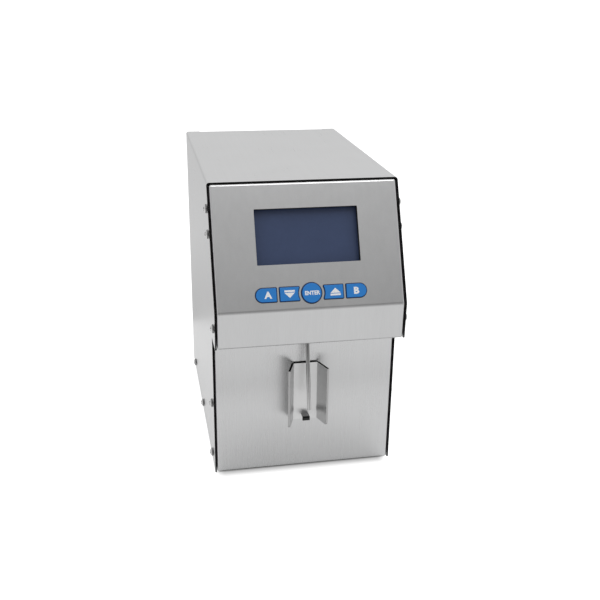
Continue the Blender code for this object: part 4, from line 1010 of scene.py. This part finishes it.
# %% [markdown]
# The tray is the lower front panel and the floor in one, folded like the control panel. Its side
# flanges carry the cover's screws, and its rear flange meets the rear panel.

# %% Fold the tray
front_flange = 0.0115
tray_section = [
    (front_y, hood_z - seat),
    (front_y, base_z + tray_flange),
    (front_y, base_z),
    (front_y + front_flange, base_z),
    (rear_y, base_z),
    (rear_y, base_z + tray_flange),
]
bm = drawn_across(tray_section, (2 * inner_half,))
front_sides = side_edges(bm, lambda at: at.y < front_y + near)
floor_sides = side_edges(
    bm, lambda at: at.z < base_z + near and at.y > front_y + front_flange - near
)
draw_out(bm, front_sides, (0, front_flange, 0))
draw_out(bm, floor_sides, (0, 0, tray_flange))
bend_all(bm, panel_bend)
tray = walled("folded_tray", bm, (0, 0, top_z), tray_steel)
finish_piece(tray, "housing", "brushed", "chassis_tray")

# %% [markdown]
# The sample holder is a bent plate whose wings spread forwards, so that a cup pushed in between
# them is centred under the pipe. Only its upper edge is a near-black cut edge, with painted shade,
# and the others are ground bright. The fronts of its wings are painted a darker grey than its
# middle and their backs darker still, as painted shade, which the tray mirrors as a dark band
# beside it.

# %% Bend the sample holder
holder_low, holder_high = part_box("sample_holder")
holder_half_width = 0.0104
holder_bend = 0.0016
holder_corner = 0.002
holder_sheet = 0.0016
plate_y = holder_high.y
bm = chain(
    [
        (holder_low.x, holder_low.y, holder_low.z),
        (-holder_half_width, plate_y, holder_low.z),
        (holder_half_width, plate_y, holder_low.z),
        (holder_high.x, holder_low.y, holder_low.z),
    ]
)
draw_out(bm, list(bm.edges), (0, 0, holder_high.z - holder_low.z))
tips = [
    vert
    for vert in bm.verts
    if vert.co.z < holder_low.z + near and vert.co.y < holder_low.y + near
]
round_edges(bm, tips, holder_corner, segments=6, affect="VERTICES")
wing_folds = edges_where(
    bm, lambda at: at.y > plate_y - near and abs(at.x) > holder_half_width - near
)
round_edges(bm, wing_folds, holder_bend)
inside = (0, holder_low.y - lead, holder_low.z)
holder = walled("bent_sample_holder", bm, inside, holder_steel, holder_sheet)
for finish in (shaded_wing_steel, shaded_back_steel, ground_edge):
    holder.data.materials.append(finish)
dark_cut_and_shade, wing, shaded_back, ground = range(1, 5)


# Painted shade: the wings' fronts and backs take darker greys than the middle.
def holder_face(polygon):
    if polygon.material_index == dark_cut_and_shade:
        return dark_cut_and_shade if polygon.normal.z > 0.5 else ground
    if abs(polygon.center.x) > holder_half_width:
        return shaded_back if polygon.normal.y > 0 else wing
    return polygon.material_index


paint(holder, holder_face)
finish_piece(holder, "housing", "brushed", "sample_holder")

# %% [markdown]
# A small rubber tongue at the holder's foot stops the cup. It widens towards the front, where a
# lip hangs down. The lip is black in front, and the tongue behind it is a paler grey, which is
# painted light.

# %% Make the cup rest
rest_low, rest_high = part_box("cup_rest")
rest_root_half = 0.0028
rest_tip_half = rest_high.x
rest_thickness = 0.0014
rest_edge = 0.0004
bm = loop(
    [
        (-rest_root_half, rest_high.y),
        (-rest_tip_half, rest_low.y),
        (rest_tip_half, rest_low.y),
        (rest_root_half, rest_high.y),
    ]
)
raise_face(bm, rest_thickness)
round_edges(bm, list(bm.edges), rest_edge, edge_steps)
shift(bm, (0, 0, rest_high.z - rest_thickness))
lip_height = rest_high.z - rest_low.z
rest_lip = block((2 * rest_tip_half, rest_thickness, lip_height), rest_edge)
lip_place = Matrix.Translation(
    (0, rest_low.y + rest_thickness / 2, rest_low.z + lip_height / 2)
)
add_bmesh(bm, rest_lip, lip_place)
rest = mesh_object("cup_rest_tongue", bm, lit_rest_rubber, black_rubber)
lip_back = rest_low.y + rest_thickness
# Painted light: the tongue and the lip's back take the paler grey, and the rest of the lip is
# black.
paint(rest, lambda face: int(face.center.y < lip_back and face.normal.y < 0.5))
finish_piece(rest, "housing", "rubber", "cup_rest")

# %% [markdown]
# The intake pipe is a thin steel tube that leans back as it rises through the hood's underside.
# It is turned from a profile that runs up the outside and down the bore, with rounded ends.

# %% Turn the intake pipe
pipe_radius = 0.0015
pipe_bore = 0.0009
pipe_length = 0.076
pipe_lean = math.radians(13.1)
pipe_foot = Vector((0, front_y - 0.0192, base_z + 0.0600))
pipe_round = 0.0002
pipe_place = Matrix.Translation(pipe_foot) @ Matrix.Rotation(-pipe_lean, 4, "X")
bm = turned(
    [
        (pipe_bore, 0),
        (pipe_radius - pipe_round, 0),
        (pipe_radius, pipe_round),
        (pipe_radius, pipe_length - pipe_round),
        (pipe_radius - pipe_round, pipe_length),
        (pipe_bore, pipe_length),
        (pipe_bore, 0),
    ],
    round_steps,
)
names = ("housing", "bright", "intake_pipe")
piece("steel_intake_pipe", bm, *names, finish=pipe_steel, place=pipe_place)

# %% [markdown]
# Each key is a moulded cap with a rounded rim and a white printed legend. The rim's steep part and
# the sides are a darker blue than the top, which is painted shade. The cap keeps the outline that
# its hole is cut to, and both ride on the key's own body, so that they go in together when it is
# pressed.

# %% Mould the keys
key_rise = 0.0010
key_rim = 0.0009
key_depth = 0.0026
steep = 0.90
for name, outline in key_outlines().items():
    bm = raise_face(loop(outline), key_depth)
    rim = edges_where(bm, lambda at: at.z > key_depth - near)
    round_edges(bm, rim, key_rim, segments=5)
    place = on_row @ Matrix.Translation((0, 0, key_rise - key_depth))
    cap = mesh_object(f"cap_{name}", bm, key_blue, key_shade_blue)
    # Painted shade: the steep faces take the darker blue.
    paint(cap, lambda face: int(face.normal.z < steep))
    finish_piece(cap, name, "blue", name, place=place)

# %% [markdown]
# The legends are a little proud of the caps, as thick as pad-printed ink looks. Letters start as
# text objects and become meshes, and the arrows are outlines. A bar across each arrow's flat side
# makes it read as a stop.

# %% Print the legends
ink = 0.00006
ink_lift = key_rise - 0.00001
letter_style = {"height": 0.0048, "narrow": 1.08, "weight": 0.00030, "steps": 2}
word_style = {"height": 0.0029, "narrow": 0.93, "weight": 0.00015, "steps": 4}
cap_share = 0.73
legend_x = {
    "key_a": -0.0319,
    "key_down": -0.0162,
    "key_enter": 0.0005,
    "key_up": 0.0174,
    "key_b": 0.0332,
}


def print_on(key, bm, lift):
    """Puts a legend on its cap, at its place along the row."""
    place = on_row @ Matrix.Translation((legend_x[key], 0, lift))
    name = key.replace("key", "legend")
    piece(name, bm, key, "white", finish=legend_white, place=place)


def centre_of(bm, axis):
    """The middle between the lowest and the highest place along an axis."""
    values = [vert.co[axis] for vert in bm.verts]
    return (min(values) + max(values)) / 2


def letters(key, words, height, narrow, weight, steps):
    """A word as a thin mesh. narrow stretches it sideways, and weight thickens its strokes."""
    data = bpy.data.curves.new(words, "FONT")
    data.body = words
    data.size = height / cap_share
    data.align_x = "CENTER"
    data.align_y = "CENTER"
    data.extrude = ink / 2
    data.offset = weight
    data.resolution_u = steps
    text = new_object(words, data)
    bm = bmesh.new()
    bm.from_mesh(baked(text))
    bpy.data.objects.remove(text)
    bmesh.ops.remove_doubles(bm, verts=bm.verts, dist=near)
    to_middle = (-centre_of(bm, 0), -centre_of(bm, 1), 0)
    shift(bm, to_middle)
    bmesh.ops.scale(bm, verts=bm.verts, vec=(narrow, 1, 1))
    print_on(key, bm, ink_lift)


def arrow(key, way):
    """A triangle with a bar beside its flat side. way is 1 for up and -1 for down."""
    half = 0.0038
    tip = 0.0028
    flat = -0.00095
    bar_top = -0.00145
    bar_low = -0.0028
    point = [(-half, flat), (half, flat), (0, tip)]
    bar = [(-half, bar_top), (-half, bar_low), (half, bar_low), (half, bar_top)]
    bm = loop(*([(x, way * y) for x, y in outline] for outline in (point, bar)))
    print_on(key, raise_face(bm, ink), ink_lift - ink / 2)


letters("key_a", "A", **letter_style)
letters("key_b", "B", **letter_style)
letters("key_enter", "ENTER", **word_style)
arrow("key_down", -1)
arrow("key_up", 1)

# %% [markdown]
# Behind the window lies a clear pane over the display. Switched off, it is a dark slate blue that
# mirrors a little of the room. A finer, darker frame shows between the pane and the steel.

# %% Fit the display pane
pane_overlap = 0.004
pane_thickness = 0.0015
pane_recess = 0.0054
pane_place = window_place @ Matrix.Translation((0, 0, -pane_recess - pane_thickness / 2))
pane_edge = 0.0002
display_blue = moulding(
    "display_blue", (0.051, 0.075, 0.154), 0.30, 0.02, 0.10, 0, 400.0, Specular_IOR_Level=0.30
)
pane_size = (window_width + 2 * pane_overlap, window_height + 2 * pane_overlap, pane_thickness)
bm = block(pane_size, pane_edge)
names = ("housing", "glass_dark", "display_window")
piece("display_pane", bm, *names, finish=display_blue, place=pane_place)

# %% [markdown]
# The screws are pan-head M3 with a cross recess. One screw is turned, its cross is cut once, and
# copies of that mesh go to each place, which is read from the box of the CAD screw.

# %% Turn the screws
screw_head_radius = 0.0034
screw_head_height = 0.0024
screw_shank = 0.0015
screw_reach = 0.0062
cross_width = 0.0009
cross_span = 0.0036
cross_depth = 0.0012
rim_share = 0.50
screw_edge = 0.0002
letter_turn = 0.7
crown = arc((0, 0), 1.0, start=90, end=12, count=10)
screw_profile = [(screw_head_radius * x, screw_head_height * z) for x, z in crown]
screw_profile += [
    (screw_head_radius, screw_edge),
    (screw_head_radius - screw_edge, 0),
    (screw_shank, 0),
    (screw_shank, -screw_reach),
    (0, -screw_reach),
]
bm = turned(screw_profile, round_steps)
screw_model = mesh_object("screw_model", bm, screw_steel, cut_edge_and_shade, shaded_rim_steel)
# Painted shade: the faces below rim_top, round the head's rim, take the dark steel.
rim_top = rim_share * screw_head_height
paint(screw_model, lambda face: 2 if face.center.z < rim_top else 0)
for turn in (0, 90):
    bar = block((cross_span, cross_width, 2 * cross_depth))
    bmesh.ops.rotate(bar, verts=bar.verts, matrix=Matrix.Rotation(math.radians(45 + turn), 3, "Z"))
    shift(bar, (0, 0, screw_head_height))
    punch(screw_model, mesh_object("cross_punch", bar, cut_edge_and_shade))


def place_screw(node, axis, outward):
    """A copy of the screw where the CAD one is. Its head faces outward along X or Y."""
    low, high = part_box(node)
    seat_point = (low + high) / 2
    seat_point[axis] = (high if outward > 0 else low)[axis] - outward * screw_head_height
    way = Vector((0, 0, 0))
    way[axis] = outward
    turn = Matrix.Rotation(sum(ord(letter) for letter in node) * letter_turn, 4, "Z")
    facing = way.to_track_quat("Z", "Y").to_matrix().to_4x4()
    place = Matrix.Translation(seat_point) @ facing @ turn
    made = new_object(f"m3_{node}", screw_model.data.copy())
    finish_piece(made, "housing", "bright", node, place=place)


for node in sorted(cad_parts):
    if node.startswith("side_screw_left"):
        place_screw(node, 0, -1)
    elif node.startswith("side_screw_right"):
        place_screw(node, 0, 1)
    elif node.startswith("rear_screw"):
        place_screw(node, 1, 1)
bpy.data.objects.remove(screw_model)

# %% [markdown]
# The nine-way port is a pressed flange with two hexagonal posts, a hollow steel shell, a black
# insert and nine pins. The shell's slanted sides let a plug in only one way up.

# %% Assemble the serial port
port_low, port_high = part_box("serial_port")
port_flange = (0.0308, 0.0125)
port_corner = 0.0014
flange_thickness = 0.001
shell_foot = 0.0005
shell_reach = 0.0058
shell_across = 0.0083
shell_up = 0.0040
shell_slope = 0.0010
shell_wall = 0.0004
hollow_low = -0.001
hollow_high = 0.009
insert_top = 0.0022
pin_top = 0.0058
pin_radius = 0.0005
pin_pitch = 0.00277
pin_row = 0.00142
post_x = 0.0125
post_radius = 0.0027
post_bore = 0.0014
post_reach = 0.0045
to_rear = Matrix(((-1, 0, 0, 0), (0, 0, 1, 0), (0, 1, 0, 0), (0, 0, 0, 1)))
port_face = (
    (port_low.x + port_high.x) / 2,
    port_high.y - shell_reach - flange_thickness,
    (port_low.z + port_high.z) / 2,
)
port_place = Matrix.Translation(port_face) @ to_rear


def d_prism(grow, low, high):
    """A prism with the port's outline, wider at the top than at the bottom."""
    wide = shell_across + grow
    narrow = wide - shell_slope
    up = shell_up + grow
    bm = raise_face(loop([(-narrow, -up), (narrow, -up), (wide, up), (-wide, up)]), high - low)
    corners = [edge for edge in bm.edges if abs(edge.verts[0].co.z - edge.verts[1].co.z) > near]
    round_edges(bm, corners, port_corner + grow, segments=4)
    shift(bm, (0, 0, low))
    return bm


bm = raise_face(loop(rounded_rectangle(*port_flange, port_corner, count=6)), flange_thickness)
round_edges(bm, edges_where(bm, lambda at: at.z > flange_thickness - near), seat, segments=2)
post_profile = [
    (0, flange_thickness / 2),
    (post_radius, flange_thickness / 2),
    (post_radius, post_reach - seat),
    (post_radius - seat, post_reach),
    (post_bore, post_reach),
    (post_bore, post_reach / 2),
    (0, post_reach / 2),
]
for side in (-1, 1):
    place = Matrix.Translation((side * post_x, 0, 0))
    add_bmesh(bm, turned(post_profile, steps=6), place)
names = ("housing", "bright", "serial_port")
piece("serial_flange", bm, *names, finish=bright_steel, place=port_place)

bm = d_prism(0, shell_foot, flange_thickness + shell_reach)
shell = mesh_object("serial_shell", bm, bright_steel)
hollow = d_prism(-shell_wall, hollow_low, hollow_high)
punch(shell, mesh_object("shell_hollow", hollow, bright_steel))
finish_piece(shell, "housing", "bright", place=port_place)

bm = d_prism(-shell_wall, 0, insert_top)
inner_depth = port_high.y - port_low.y - flange_thickness - shell_reach
rear_block = block((2 * shell_across, 2 * shell_up, inner_depth), seat)
add_bmesh(bm, rear_block, Matrix.Translation((0, 0, flange_thickness / 2 - inner_depth / 2)))
piece("serial_insert", bm, "housing", "black", finish=black_plastic, place=port_place)

pin_profile = [
    (0, flange_thickness),
    (pin_radius, flange_thickness),
    (pin_radius, pin_top - pin_radius),
    (0, pin_top),
]
bm = bmesh.new()
for row, count in ((1, 5), (-1, 4)):
    for column in range(count):
        x = (column - (count - 1) / 2) * pin_pitch
        place = Matrix.Translation((x, row * pin_row, 0))
        add_bmesh(bm, turned(pin_profile, steps=12), place)
piece("serial_pins", bm, "housing", "bright", finish=bright_steel, place=port_place)

# %% [markdown]
# The CAD nodes whose shapes are already right keep them, and take a finish. Most are inside or on
# the rear.

# %% Finish the other nodes
def dress(finish, *nodes):
    for node in nodes:
        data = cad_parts[node].data
        data.materials.clear()
        data.materials.append(finish)


def nodes_like(start):
    return [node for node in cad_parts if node.startswith(start)]


dress(cover_steel, "rear_panel")
dress(bright_steel, "transducer_left", "transducer_right", "pump_rotor", "outlet_nipple")
dress(zinc_plate, "inner_frame", "pump_motor", "power_supply")
dress(aluminium, "measuring_cell")
dress(black_rubber, *nodes_like("foot_"))
dress(black_plastic, "display_rim", "pipe_bush", "switch_rocker")
dress(black_plastic, "power_inlet", "power_switch", "dc_socket")
dress(white_plastic, "pump_housing", *nodes_like("pump_roller"))
dress(silicone, "intake_hose", "pump_tube")
dress(ribbon_grey, "display_ribbon")
dress(circuit_green, "keypad_board", "display_module", "main_board")
print("dressed nodes")
